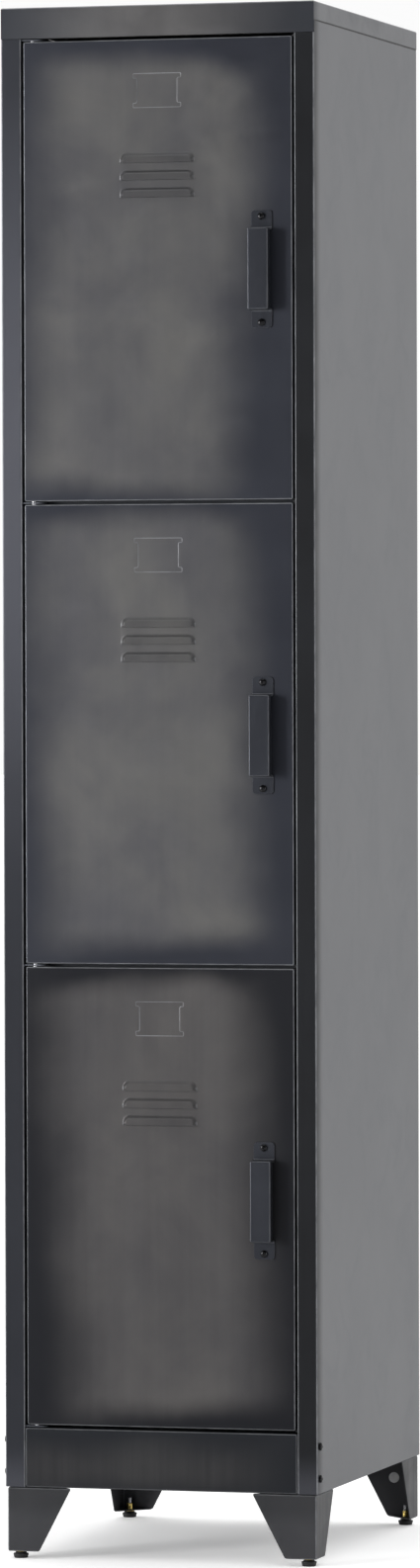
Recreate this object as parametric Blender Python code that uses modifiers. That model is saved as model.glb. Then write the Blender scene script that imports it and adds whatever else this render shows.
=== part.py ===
"""Three-door steel locker on four legs, built from its separate sheet-metal and hardware pieces.

Metres, +Z up. The doors face -Y and hinge on their left edge. The origin is on the floor,
in the middle of the outer box, which the handles at the front and the lid's back edge set.
"""

from math import cos, pi, radians, sin, tan

import bmesh
import bpy
from mathutils import Matrix, Vector

# Outer sizes
HEIGHT = 1.800
WIDTH = 0.376
DEPTH = 0.476  # front of the posts to the back of the body
BODY_BOTTOM = 0.0838  # lowest edge of the body, where the legs start

# Sheet metal
SHEET = 0.0010
LEG_SHEET = 0.0015
FOLD_RADIUS = 0.0020  # outside radius of a fold
FOLD_STEPS = 2
REST_GAP = 0.0003  # between two pieces that rest on each other
SCREW_CLEARANCE = 0.0003  # round a screw's shank
RUNNING_CLEARANCE = 0.0001  # round a pin or a stud that turns in its hole

# Body
POST_WIDTH = 0.024
STOP_WIDTH = 0.008
BACK_FLANGE = 0.015
LID_FRONT = 0.036  # height of the lid's front band
LID_SIDE = 0.022  # height of its sides and back
LID_RETURN = 0.020  # width of its folded-in lower edge
PLINTH_HEIGHT = 0.0692
SHELF_FLANGE = 0.025
FLOOR_FLANGE = 0.020
BASE_FLANGE = 0.020
BASE_DROP = 0.0005  # the base panel shows this far below the body
SHELF_RISE = 0.012  # a shelf's top above the middle of the gap between two doors

# Doors
DOOR_NAMES = ("lower", "middle", "upper")
DOOR_GAP = 0.0035  # above and below each door
DOOR_SIDE_GAP = 0.0025
DOOR_RECESS = 0.0008
DOOR_THICKNESS = 0.015
DOOR_LIP = 0.012  # the edge folded in at a door's back
CATCH_DEPTH = 0.0056  # a magnetic catch fills the gap between a door and its stop
STOP_DEPTH = DOOR_RECESS + DOOR_THICKNESS + CATCH_DEPTH + 2 * REST_GAP  # front to the stops
PLINTH_STOP_GAP = 0.0020  # the plinth's back edges end this far before the stops
PLINTH_DEPTH = STOP_DEPTH - PLINTH_STOP_GAP

# Label pocket, pressed into a door: two wide bars with a narrower field between them
POCKET_WIDTH = 0.058
POCKET_HEIGHT = 0.040
POCKET_FIELD = 0.049
POCKET_BAR = 0.006
POCKET_PRESS = 0.0006
POCKET_DROP = 0.0593  # door's top edge to the pocket's middle

# Louvres
LOUVRE_COUNT = 3
LOUVRE_WIDTH = 0.090
LOUVRE_HEIGHT = 0.0120
LOUVRE_REACH = 0.0045
LOUVRE_PITCH = 0.020
LOUVRE_DROP = 0.1303  # door's top edge to the first louvre's top
LOUVRE_CORNER = 0.0090
LOUVRE_SLOPE = 0.0036

# Hinges: a plate through each post slot, with a pin that both doors turn on
HINGE_INSET = 0.0105  # door's left edge to the pin
HINGE_BACK = 0.0060  # front of the posts to the pin
PIN_RADIUS = 0.0030
PIN_REACH = 0.0075  # beyond the plate
PLATE_THICKNESS = 0.0015
PLATE_EDGE_GAP = 0.0004  # the slot runs between the post's bends, with this to spare
PLATE_FRONT = FOLD_RADIUS + PLATE_EDGE_GAP
PLATE_DEPTH = STOP_DEPTH - FOLD_RADIUS - PLATE_EDGE_GAP - PLATE_FRONT
PLATE_NOSE = 0.0130  # pin to the plate's free end
PLATE_TAIL = POST_WIDTH - SHEET - 0.0020  # how far it reaches into the hollow post
PLATE_CORNER = 0.0060

# Magnetic catches on the right-hand stop
CATCH_WIDTH = 0.0170
CATCH_HEIGHT = 0.044
CATCH_EDGE = 0.0015

# Handles
HANDLE_WIDTH = 0.0247
HANDLE_LENGTH = 0.135
HANDLE_REACH = 0.0205  # face of the door to the front of the grip
HANDLE_FLANGE = 0.0105  # the grip's edges folded towards the door
HANDLE_TAB = 0.0205
HANDLE_SHEET = 0.0015
HANDLE_FROM_EDGE = 0.0362  # door's right edge to the handle's middle
HANDLE_DROP = 0.0014  # door's middle to the handle's middle
HANDLE_SCREW_SPACING = 0.1223
TAB_CORNER = 0.0040

# Screws, as head radius, head height, shank radius and shank length
HANDLE_SCREW = (0.0041, 0.0026, 0.0020, 0.0100)
SIDE_SCREW = (0.0046, 0.0030, 0.0023, POST_WIDTH + 2 * SHEET + 0.0030)
SIDE_SCREW_BACK = 0.0103  # front of the posts to the screws
SIDE_SCREW_HEIGHTS = (0.1012, 0.1384)
HEAD_STEPS = 3
SCREW_STEPS = 12
ROUND_STEPS = 16

# Legs
LEG_INSET = 0.0020
LEG_TOP_WIDTH = 0.0777
LEG_FOOT_WIDTH = 0.0377
LEG_BOTTOM = 0.0085
BOLT_RADIUS = 0.0030
BOLT_HOLE_EDGE = 0.0015  # from the fold of the base panel's front flange to the bolt
BOLT_HEAD_RADIUS = 0.0055
BOLT_HEAD_HEIGHT = 0.0040
BOLT_LENGTH = 0.012

# Levelling feet
FOOT_INSET = 0.0143  # body's outer faces to the foot's axis
PAD_RADIUS = 0.0090
PAD_SOLE_RADIUS = 0.0080
PAD_HEIGHT = 0.0054
BOSS_RADIUS = 0.0065
SOLE_THICKNESS = 0.0022
STUD_RADIUS = 0.0025
STUD_ABOVE_INSERT = 0.0065
INSERT_RADIUS = 0.0035
INSERT_RISE = 0.0070  # above the leg's foot plate
INSERT_HEAD_RADIUS = 0.0055
INSERT_HEAD = 0.0008

# Places that follow from the sizes
FRONT = (HANDLE_REACH - DOOR_RECESS - DEPTH) / 2
BACK = FRONT + DEPTH
HALF_WIDTH = WIDTH / 2
HALF_MOUTH = HALF_WIDTH - POST_WIDTH
INNER_HALF = HALF_WIDTH - SHEET - REST_GAP
INNER_SETBACK = STOP_DEPTH + SHEET + REST_GAP  # front of the posts to the inner panels
INNER_FRONT = FRONT + INNER_SETBACK
BACK_PANEL_REAR = BACK - SHEET - REST_GAP
INNER_BACK = BACK_PANEL_REAR - SHEET - REST_GAP
LID_SEAM = HEIGHT - LID_SIDE
POST_TOP = HEIGHT - LID_FRONT - REST_GAP
PLINTH_TOP = BODY_BOTTOM + PLINTH_HEIGHT
DOORS_TOP = HEIGHT - LID_FRONT - DOOR_GAP
DOOR_COUNT = len(DOOR_NAMES)
DOOR_HEIGHT = (DOORS_TOP - PLINTH_TOP) / DOOR_COUNT - DOOR_GAP
DOOR_PITCH = DOOR_HEIGHT + DOOR_GAP
DOOR_HALF = HALF_MOUTH - DOOR_SIDE_GAP
DOOR_FACE = FRONT + DOOR_RECESS
HINGE_X = DOOR_HALF - HINGE_INSET
HINGE_Y = FRONT + HINGE_BACK
HANDLE_X = DOOR_HALF - HANDLE_FROM_EDGE
HANDLE_BASE = DOOR_FACE - REST_GAP
LEG_TOP = BODY_BOTTOM - BASE_DROP - REST_GAP
BOLT_INSET = INNER_SETBACK + FOLD_RADIUS + BOLT_HOLE_EDGE + BOLT_RADIUS  # body's faces to a bolt


def clear_scene():
    for obj in list(bpy.data.objects):
        bpy.data.objects.remove(obj)


def new_collection(name):
    collection = bpy.data.collections.new(name)
    bpy.context.scene.collection.children.link(collection)
    return collection


def new_material(name, color, roughness, metallic):
    material = bpy.data.materials.new(name)
    material.use_nodes = True
    shader = material.node_tree.nodes["Principled BSDF"]
    shader.inputs["Base Color"].default_value = (*color, 1.0)
    shader.inputs["Roughness"].default_value = roughness
    shader.inputs["Metallic"].default_value = metallic
    return material


clear_scene()
LOCKER = new_collection("locker_cabinet")
CUTTERS = new_collection("cutters")

BODY_PAINT = dict(color=(0.055, 0.060, 0.072), roughness=0.42, metallic=0.5)
SIDE_PAINT = dict(color=(0.195, 0.198, 0.205), roughness=0.45, metallic=0.4)
DOOR_PAINT = dict(color=(0.115, 0.112, 0.108), roughness=0.38, metallic=0.6)
HANDLE_PLATE = dict(color=(0.16, 0.165, 0.175), roughness=0.35, metallic=0.7)
SCREW_STEEL = dict(color=(0.10, 0.10, 0.10), roughness=0.3, metallic=0.9)
BLACK_PLASTIC = dict(color=(0.012, 0.012, 0.013), roughness=0.5, metallic=0.0)
YELLOW_ZINC = dict(color=(0.62, 0.50, 0.16), roughness=0.3, metallic=0.9)
BRIGHT_STEEL = dict(color=(0.42, 0.42, 0.43), roughness=0.3, metallic=1.0)


def add_mesh(name, bm, finish):
    """The finished bmesh as an object of the locker, in its own material."""
    mesh = bpy.data.meshes.new(name)
    bm.to_mesh(mesh)
    bm.free()
    mesh.materials.append(new_material(name, **finish))
    obj = bpy.data.objects.new(name, mesh)
    LOCKER.objects.link(obj)
    return obj


def add_cutter(name, bm):
    mesh = bpy.data.meshes.new(name)
    bm.to_mesh(mesh)
    bm.free()
    obj = bpy.data.objects.new(name, mesh)
    obj.hide_render = True
    obj.display_type = "WIRE"
    CUTTERS.objects.link(obj)
    return obj


def combine(target, other, operation):
    modifier = target.modifiers.new(other.name, "BOOLEAN")
    modifier.operation = operation
    modifier.solver = "EXACT"
    modifier.object = other


def cut(target, cutter):
    combine(target, cutter, "DIFFERENCE")


def join(target, other):
    combine(target, other, "UNION")


def smooth(obj, angle=35):
    obj.data.shade_smooth()
    obj.data.set_sharp_from_angle(angle=radians(angle))


def box(low, high):
    """A bmesh box between two corners."""
    low = Vector(low)
    high = Vector(high)
    bm = bmesh.new()
    bmesh.ops.create_cube(bm, size=1)
    bmesh.ops.scale(bm, vec=high - low, verts=bm.verts)
    bmesh.ops.translate(bm, vec=(low + high) / 2, verts=bm.verts)
    return bm


def rod(centre, radius, length, direction="Z", steps=ROUND_STEPS):
    """A bmesh cylinder whose axis runs along one of the three directions."""
    bm = bmesh.new()
    bmesh.ops.create_cone(
        bm, cap_ends=True, segments=steps, radius1=radius, radius2=radius, depth=length
    )
    turns = {"X": Matrix.Rotation(pi / 2, 4, "Y"), "Y": Matrix.Rotation(pi / 2, 4, "X")}
    bmesh.ops.transform(bm, matrix=turns.get(direction, Matrix()), verts=bm.verts)
    bmesh.ops.translate(bm, vec=centre, verts=bm.verts)
    return bm


def faces_towards(bm, direction):
    direction = Vector(direction)
    bm.normal_update()
    return [face for face in bm.faces if face.normal.dot(direction) > 0.99]


def fold_edges(bm, edges, radius=FOLD_RADIUS, steps=FOLD_STEPS):
    bmesh.ops.bevel(
        bm, geom=edges, offset=radius, segments=steps, profile=0.5, affect="EDGES", material=-1
    )


def give_thickness(obj, thickness):
    """The modelled surface becomes the outside of a sheet this thick."""
    modifier = obj.modifiers.new("sheet", "SOLIDIFY")
    modifier.thickness = thickness
    modifier.offset = -1
    modifier.use_even_offset = True


def pan(name, low, high, opening, finish, lip=0):
    """A box of folded sheet, open on one side, with its edge folded in there by the lip."""
    bm = box(low, high)
    open_face = faces_towards(bm, opening)
    if lip:
        bmesh.ops.inset_region(bm, faces=open_face, thickness=lip, use_even_offset=True)
    bmesh.ops.delete(bm, geom=open_face, context="FACES_ONLY")
    folds = [edge for edge in bm.edges if edge.is_manifold and edge.calc_face_angle() > 1]
    fold_edges(bm, folds)
    obj = add_mesh(name, bm, finish)
    give_thickness(obj, SHEET)
    return obj


def rounded_path(corners, radius, steps=FOLD_STEPS):
    """The corners joined by straight runs, each inner corner turned into an arc."""
    path = [Vector(corners[0])]
    for before, corner, after in zip(corners, corners[1:], corners[2:]):
        corner = Vector(corner)
        to_before = (Vector(before) - corner).normalized()
        to_after = (Vector(after) - corner).normalized()
        half_angle = to_before.angle(to_after) / 2
        middle = (to_before + to_after).normalized()
        centre = corner + middle * radius / sin(half_angle)
        start = corner + to_before * radius / tan(half_angle) - centre
        end = corner + to_after * radius / tan(half_angle) - centre
        turn = start.angle_signed(end)
        for step in range(steps + 1):
            path.append(centre + Matrix.Rotation(-turn * step / steps, 2) @ start)
    path.append(Vector(corners[-1]))
    return path


def folded_strip(path, low, high):
    """A bmesh surface that follows a plan path from low to high, facing the path's right."""
    bm = bmesh.new()
    row = [bm.verts.new((point.x, point.y, low)) for point in path]
    edges = [bm.edges.new(pair) for pair in zip(row, row[1:])]
    raised = bmesh.ops.extrude_edge_only(bm, edges=edges)["geom"]
    top = [item for item in raised if isinstance(item, bmesh.types.BMVert)]
    bmesh.ops.translate(bm, vec=(0, 0, high - low), verts=top)
    bm.normal_update()
    along = path[1] - path[0]
    first_face = edges[0].link_faces[0]
    if first_face.normal.dot(Vector((along.y, -along.x, 0))) < 0:
        bmesh.ops.reverse_faces(bm, faces=bm.faces)
    return bm


def split_at_height(bm, height):
    geometry = list(bm.verts) + list(bm.edges) + list(bm.faces)
    bmesh.ops.bisect_plane(bm, geom=geometry, plane_co=(0, 0, height), plane_no=(0, 0, 1))


def flat_plate(name, outline, thickness):
    """A bmesh prism of a closed plan outline, half its thickness on each side of z = 0."""
    curve = bpy.data.curves.new(name, "CURVE")
    curve.dimensions = "2D"
    curve.fill_mode = "BOTH"
    curve.extrude = thickness / 2
    spline = curve.splines.new("POLY")
    spline.points.add(len(outline) - 1)
    for point, place in zip(spline.points, outline):
        point.co = (place[0], place[1], 0, 1)
    spline.use_cyclic_u = True
    guide = bpy.data.objects.new(name, curve)
    CUTTERS.objects.link(guide)
    bpy.context.view_layer.update()
    mesh = bpy.data.meshes.new_from_object(
        guide.evaluated_get(bpy.context.evaluated_depsgraph_get())
    )
    bm = bmesh.new()
    bm.from_mesh(mesh)
    bmesh.ops.remove_doubles(bm, verts=bm.verts, dist=1e-6)
    bmesh.ops.dissolve_limit(bm, angle_limit=radians(1), verts=bm.verts, edges=bm.edges)
    bmesh.ops.recalc_face_normals(bm, faces=bm.faces)
    bpy.data.objects.remove(guide)
    bpy.data.meshes.remove(mesh)
    return bm


def rounded_outline(corners, radius, steps=3):
    """A closed outline with all its corners rounded."""
    count = len(corners)
    outline = []
    for index in range(count):
        three = [corners[(index + shift) % count] for shift in (-1, 0, 1)]
        outline += rounded_path(three, radius, steps)[1:-1]
    return outline


def turned(name, profile, finish, steps=ROUND_STEPS):
    """A turned piece about its own Z axis, from a profile that runs down its outer side."""
    bm = bmesh.new()
    closed = profile[0] == profile[-1]
    row = [bm.verts.new((radius, 0, height)) for radius, height in profile[: -1 if closed else None]]
    for pair in zip(row, row[1:] + (row[:1] if closed else [])):
        bm.edges.new(pair)
    obj = add_mesh(name, bm, finish)
    modifier = obj.modifiers.new("turn", "SCREW")
    modifier.steps = steps
    modifier.render_steps = steps
    modifier.use_merge_vertices = True
    modifier.merge_threshold = 0.00001
    modifier.use_smooth_shade = True
    return obj


def axis_empty(name, place):
    empty = bpy.data.objects.new(name, None)
    empty.location = place
    empty.empty_display_size = 0.03
    LOCKER.objects.link(empty)
    bpy.context.view_layer.update()
    return empty


def hang(obj, empty):
    """The object keeps its place and follows the empty on its joint's axis."""
    obj.parent = empty
    obj.matrix_parent_inverse = empty.matrix_world.inverted()


# Body


def make_side_panel(name, side, slot_heights=()):
    """Side sheet with the front post, the door stop and the back flange folded from it."""
    plan = [
        (HALF_MOUTH - STOP_WIDTH, FRONT + STOP_DEPTH),
        (HALF_MOUTH, FRONT + STOP_DEPTH),
        (HALF_MOUTH, FRONT),
        (HALF_WIDTH, FRONT),
        (HALF_WIDTH, BACK),
        (HALF_WIDTH - BACK_FLANGE, BACK),
    ]
    if side < 0:
        plan = [(-x, y) for x, y in reversed(plan)]
    bm = folded_strip(rounded_path(plan, FOLD_RADIUS), BODY_BOTTOM, LID_SEAM - REST_GAP)
    remove_post_top(bm)
    for height in slot_heights:
        open_hinge_slot(bm, height)
    panel = add_mesh(name, bm, SIDE_PAINT)
    give_thickness(panel, SHEET)
    for number, height in enumerate(SIDE_SCREW_HEIGHTS, 1):
        middle = side * (HALF_WIDTH + HALF_MOUTH) / 2
        hole = rod(
            (middle, FRONT + SIDE_SCREW_BACK, height),
            SIDE_SCREW[2] + SCREW_CLEARANCE,
            POST_WIDTH + 4 * SHEET,
            "X",
        )
        cut(panel, add_cutter(f"{name}_screw_hole_{number}_cutter", hole))
    return panel


def remove_post_top(bm):
    """The post stops under the lid's front rail; the side sheet goes on up beside it."""
    split_at_height(bm, POST_TOP)
    spare = []
    for face in bm.faces:
        middle = face.calc_center_median()
        in_post = abs(middle.x) < HALF_WIDTH - POST_WIDTH / 2 and middle.y < BACK - FOLD_RADIUS
        if middle.z > POST_TOP and (in_post or middle.y < FRONT + FOLD_RADIUS):
            spare.append(face)
    bmesh.ops.delete(bm, geom=spare, context="FACES")


def open_hinge_slot(bm, height):
    """A slot through the flat of the post's return, for one hinge plate."""
    half = PLATE_THICKNESS / 2 + REST_GAP
    for level in (height - half, height + half):
        split_at_height(bm, level)
    spare = []
    for face in bm.faces:
        middle = face.calc_center_median()
        in_return = abs(abs(middle.x) - HALF_MOUTH) < 1e-6
        if in_return and abs(middle.z - height) < half:
            spare.append(face)
    bmesh.ops.delete(bm, geom=spare, context="FACES")


def make_back_panel():
    half = INNER_HALF - FOLD_RADIUS
    low = (-half, BACK_PANEL_REAR - SHEET, BODY_BOTTOM)
    high = (half, BACK_PANEL_REAR, LID_SEAM - REST_GAP)
    return add_mesh("back_panel", box(low, high), SIDE_PAINT)


def make_lid():
    """A tray with its lower edge folded in, its front deepened into the rail over the doors."""
    bm = box((-HALF_WIDTH, FRONT, LID_SEAM), (HALF_WIDTH, BACK, HEIGHT))
    bottom = faces_towards(bm, (0, 0, -1))
    bmesh.ops.inset_region(bm, faces=bottom, thickness=LID_RETURN, use_even_offset=True)
    bmesh.ops.delete(bm, geom=bottom, context="FACES_ONLY")
    ring = faces_towards(bm, (0, 0, -1))
    front_strip = min(ring, key=lambda face: face.calc_center_median().y)
    lowered = bmesh.ops.extrude_face_region(bm, geom=[front_strip])["geom"]
    corners = [item for item in lowered if isinstance(item, bmesh.types.BMVert)]
    bmesh.ops.translate(bm, vec=(0, 0, LID_SIDE - LID_FRONT), verts=corners)
    bmesh.ops.delete(bm, geom=[front_strip], context="FACES_ONLY")
    bm.normal_update()
    flush = [
        edge
        for edge in bm.edges
        if edge.is_manifold and edge.calc_face_angle() < 0.01 and edge.calc_length() > LID_RETURN
    ]
    bmesh.ops.dissolve_edges(bm, edges=flush, use_verts=False)
    bm.normal_update()
    outer = [
        edge
        for edge in bm.edges
        if edge.is_manifold and all(vert.co.z > HEIGHT - 1e-6 for vert in edge.verts)
    ]
    fold_edges(bm, outer)
    lid = add_mesh("lid", bm, BODY_PAINT)
    give_thickness(lid, SHEET)
    return lid


def make_shelf(name, top):
    low = (-INNER_HALF, INNER_FRONT, top - SHELF_FLANGE)
    high = (INNER_HALF, INNER_BACK, top)
    return pan(name, low, high, (0, 0, -1), BODY_PAINT)


def make_floor_panel():
    low = (-INNER_HALF, INNER_FRONT, PLINTH_TOP - FLOOR_FLANGE)
    high = (INNER_HALF, INNER_BACK, PLINTH_TOP)
    return pan("floor_panel", low, high, (0, 0, -1), BODY_PAINT)


def make_base_panel():
    low = (-INNER_HALF, INNER_FRONT, BODY_BOTTOM - BASE_DROP)
    high = (INNER_HALF, INNER_BACK, BODY_BOTTOM - BASE_DROP + BASE_FLANGE)
    return pan("base_panel", low, high, (0, 0, 1), BODY_PAINT)


def make_plinth():
    half = HALF_MOUTH - REST_GAP
    low = (-half, FRONT, BODY_BOTTOM)
    high = (half, FRONT + PLINTH_DEPTH, PLINTH_TOP)
    plinth = pan("plinth", low, high, (0, 1, 0), BODY_PAINT)
    for side in (-1, 1):
        for number, height in enumerate(SIDE_SCREW_HEIGHTS, 1):
            hole = rod(
                (side * half, FRONT + SIDE_SCREW_BACK, height),
                SIDE_SCREW[2] + SCREW_CLEARANCE,
                4 * SHEET,
                "X",
            )
            cut(plinth, add_cutter(f"plinth_hole_{side}_{number}_cutter", hole))
    return plinth


# Screws, pins and bolts


def pan_head_profile(head_radius, head_height, shank_radius, shank_length):
    """A domed head above z = 0 and a shank below it."""
    profile = []
    for step in range(HEAD_STEPS + 1):
        angle = pi / 2 * step / HEAD_STEPS
        profile.append((head_radius * sin(angle), head_height * (0.35 + 0.65 * cos(angle))))
    profile[0] = (0, head_height)
    profile += [(head_radius, 0), (shank_radius, 0), (shank_radius, -shank_length)]
    profile.append((0, -shank_length))
    return profile


def make_handle_screw(name, place):
    screw = turned(name, pan_head_profile(*HANDLE_SCREW), SCREW_STEEL, SCREW_STEPS)
    screw.location = place
    screw.rotation_euler = (pi / 2, 0, 0)
    return screw


def make_side_screw(name, side, height):
    screw = turned(name, pan_head_profile(*SIDE_SCREW), SCREW_STEEL, SCREW_STEPS)
    screw.location = (side * (HALF_WIDTH + REST_GAP), FRONT + SIDE_SCREW_BACK, height)
    screw.rotation_euler = (0, side * pi / 2, 0)
    return screw


def make_hinge_plate(name, height):
    """A flat plate that stands out of the post slot, with a hole for the pin."""
    tail = -HALF_MOUTH - PLATE_TAIL
    nose = -HINGE_X + PLATE_NOSE
    front = FRONT + PLATE_FRONT
    rear = front + PLATE_DEPTH
    square = [(tail, front), (tail, rear)]
    rounded = rounded_outline(
        [(tail, front), (nose, front), (nose, rear), (tail, rear)], PLATE_CORNER
    )
    outline = square[:1] + [p for p in rounded if p.x > -HINGE_X] + square[1:]
    bm = flat_plate(name, outline, PLATE_THICKNESS)
    bmesh.ops.translate(bm, vec=(0, 0, height), verts=bm.verts)
    plate = add_mesh(name, bm, BODY_PAINT)
    radius = PIN_RADIUS + RUNNING_CLEARANCE
    hole = rod((-HINGE_X, HINGE_Y, height), radius, 4 * PLATE_THICKNESS)
    cut(plate, add_cutter(f"{name}_hole_cutter", hole))
    return plate


def make_hinge_pin(name, height, up, down):
    """A pin through a hinge plate, reaching into the door above, the door below or both."""
    top = PLATE_THICKNESS / 2 + (PIN_REACH if up else 0)
    bottom = -PLATE_THICKNESS / 2 - (PIN_REACH if down else 0)
    pin = add_mesh(
        name, rod((0, 0, (top + bottom) / 2), PIN_RADIUS, top - bottom), BRIGHT_STEEL
    )
    pin.location = (-HINGE_X, HINGE_Y, height)
    smooth(pin)
    return pin


def make_catch(name, height):
    """A slim magnetic catch on the right-hand stop, just behind the closed door's back edge."""
    low_y = DOOR_FACE + DOOR_THICKNESS + REST_GAP
    high_y = FRONT + STOP_DEPTH - REST_GAP
    right = HALF_MOUTH - REST_GAP
    low = (right - CATCH_WIDTH, low_y, height - CATCH_HEIGHT / 2)
    high = (right, high_y, height + CATCH_HEIGHT / 2)
    bm = box(low, high)
    fold_edges(bm, list(bm.edges), CATCH_EDGE, 1)
    return add_mesh(name, bm, BLACK_PLASTIC)


# Doors


def louvre_bodies(bottom, inset, below, behind):
    """The louvre hoods of one door as a bmesh, drawn in on the top, ends and front by the inset."""
    bm = bmesh.new()
    for number in range(LOUVRE_COUNT):
        top = bottom + DOOR_HEIGHT - LOUVRE_DROP - number * LOUVRE_PITCH
        half = LOUVRE_WIDTH / 2 - inset
        low = (-half, DOOR_FACE - LOUVRE_REACH + inset, top - LOUVRE_HEIGHT - below)
        hood = box(low, (half, DOOR_FACE + behind, top - inset))
        shoulders = [
            edge
            for edge in hood.edges
            if all(vert.co.z > top - inset - 1e-6 for vert in edge.verts)
            and abs(edge.verts[0].co.x - edge.verts[1].co.x) < 1e-6
        ]
        fold_edges(hood, shoulders, LOUVRE_CORNER - inset, 3)
        front = DOOR_FACE - LOUVRE_REACH + inset
        floor = low[2]
        rim = [
            edge
            for edge in hood.edges
            if all(abs(vert.co.y - front) < 1e-6 for vert in edge.verts)
            and not all(vert.co.z < floor + 1e-6 for vert in edge.verts)
        ]
        fold_edges(hood, rim, LOUVRE_SLOPE - inset / 2, 2)
        part = bpy.data.meshes.new("hood")
        hood.to_mesh(part)
        hood.free()
        bm.from_mesh(part)
        bpy.data.meshes.remove(part)
    return bm


def pocket_body(grow, front, rear, middle):
    """The label pocket's outline, grown by a margin, as a prism through the door sheet."""
    wide = POCKET_WIDTH / 2 + grow
    narrow = POCKET_FIELD / 2 + grow
    tall = POCKET_HEIGHT / 2 + grow
    inner = POCKET_HEIGHT / 2 - POCKET_BAR - grow
    right = [(wide, -tall), (wide, -inner), (narrow, -inner)]
    right += [(x, -z) for x, z in reversed(right)]
    left = [(-x, z) for x, z in reversed(right)]
    bm = flat_plate("pocket", rounded_outline(right + left, POCKET_BAR / 4, 2), rear - front)
    bmesh.ops.rotate(bm, matrix=Matrix.Rotation(pi / 2, 3, "X"), verts=bm.verts)
    bmesh.ops.translate(bm, vec=(0, (front + rear) / 2, middle), verts=bm.verts)
    return bm


def make_door(name, bottom):
    low = (-DOOR_HALF, DOOR_FACE, bottom)
    high = (DOOR_HALF, DOOR_FACE + DOOR_THICKNESS, bottom + DOOR_HEIGHT)
    door = pan(name, low, high, (0, 1, 0), DOOR_PAINT, lip=DOOR_LIP)

    middle = bottom + DOOR_HEIGHT - POCKET_DROP
    inner = DOOR_FACE + SHEET
    press = pocket_body(SHEET, inner - SHEET / 2, inner + POCKET_PRESS, middle)
    join(door, add_cutter(f"{name}_pocket_back", press))
    hollow = pocket_body(0, DOOR_FACE - SHEET, DOOR_FACE + POCKET_PRESS, middle)
    cut(door, add_cutter(f"{name}_pocket_cutter", hollow))

    hoods = louvre_bodies(bottom, 0, 0, SHEET / 2)
    join(door, add_cutter(f"{name}_louvre_hoods", hoods))
    openings = louvre_bodies(bottom, SHEET, REST_GAP, 3 * SHEET)
    cut(door, add_cutter(f"{name}_louvre_cutter", openings))

    radius = PIN_RADIUS + RUNNING_CLEARANCE
    pin_holes = rod((-HINGE_X, HINGE_Y, bottom + DOOR_HEIGHT / 2), radius, DOOR_HEIGHT + 4 * SHEET)
    cut(door, add_cutter(f"{name}_pin_cutter", pin_holes))
    for number, height in enumerate(screw_heights(bottom), 1):
        radius = HANDLE_SCREW[2] + SCREW_CLEARANCE
        hole = rod((HANDLE_X, DOOR_FACE, height), radius, 4 * SHEET, "Y")
        cut(door, add_cutter(f"{name}_screw_hole_{number}_cutter", hole))
    return door


def handle_middle(bottom):
    return bottom + DOOR_HEIGHT / 2 - HANDLE_DROP


def screw_heights(bottom):
    middle = handle_middle(bottom)
    return (middle - HANDLE_SCREW_SPACING / 2, middle + HANDLE_SCREW_SPACING / 2)


def make_handle(name, bottom):
    """A pull bent from strip: two screw tabs and a raised grip with its long edges folded back."""
    middle = handle_middle(bottom)
    half_width = HANDLE_WIDTH / 2
    half_grip = HANDLE_LENGTH / 2 - HANDLE_TAB
    front = DOOR_FACE - HANDLE_REACH
    rear = HANDLE_BASE - HANDLE_SHEET
    low = (HANDLE_X - half_width, front, middle - half_grip)
    high = (HANDLE_X + half_width, rear, middle + half_grip)
    bm = box(low, high)
    bmesh.ops.delete(bm, geom=faces_towards(bm, (0, 1, 0)), context="FACES_ONLY")
    everything = list(bm.verts) + list(bm.edges) + list(bm.faces)
    flange_edge = (0, front + HANDLE_FLANGE, 0)
    bmesh.ops.bisect_plane(bm, geom=everything, plane_co=flange_edge, plane_no=(0, 1, 0))
    walls = faces_towards(bm, (1, 0, 0)) + faces_towards(bm, (-1, 0, 0))
    spare = [face for face in walls if face.calc_center_median().y > flange_edge[1]]
    bmesh.ops.delete(bm, geom=spare, context="FACES")
    for side in (-1, 1):
        root = [
            edge
            for edge in bm.edges
            if edge.is_boundary
            and all(vert.co.y > rear - 1e-6 for vert in edge.verts)
            and all((vert.co.z - middle) * side > 0 for vert in edge.verts)
        ]
        made = bmesh.ops.extrude_edge_only(bm, edges=root)["geom"]
        tips = [item for item in made if isinstance(item, bmesh.types.BMVert)]
        bmesh.ops.translate(bm, vec=(0, 0, side * HANDLE_TAB), verts=tips)
        bmesh.ops.bevel(
            bm, geom=tips, offset=TAB_CORNER, segments=2, profile=0.5, affect="VERTICES", material=-1
        )
    bm.normal_update()
    folds = [edge for edge in bm.edges if edge.is_manifold and edge.calc_face_angle() > 1]
    fold_edges(bm, folds, HANDLE_SHEET + SHEET / 2)
    handle = add_mesh(name, bm, HANDLE_PLATE)
    give_thickness(handle, HANDLE_SHEET)
    for number, height in enumerate(screw_heights(bottom), 1):
        radius = HANDLE_SCREW[2] + SCREW_CLEARANCE
        hole = rod((HANDLE_X, rear, height), radius, 6 * HANDLE_SHEET, "Y")
        cut(handle, add_cutter(f"{name}_hole_{number}_cutter", hole))
    return handle


def make_door_set(label, bottom):
    """One door with its handle and the handle's two screws, all on the hinge axis."""
    axis = axis_empty(f"door_{label}_axis", (-HINGE_X, HINGE_Y, bottom))
    pieces = [make_door(f"door_{label}", bottom), make_handle(f"handle_{label}", bottom)]
    head_seat = HANDLE_BASE - HANDLE_SHEET - REST_GAP
    for end, height in zip(("lower", "upper"), screw_heights(bottom)):
        place = (HANDLE_X, head_seat, height)
        pieces.append(make_handle_screw(f"handle_{label}_screw_{end}", place))
    for piece in pieces:
        hang(piece, axis)


# Legs and feet


def corner_place(side, end, inset):
    """A point the same distance inside both outer faces of one corner of the body."""
    depth_edge = FRONT if end < 0 else BACK
    return (side * (HALF_WIDTH - inset), depth_edge - end * inset)


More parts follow.
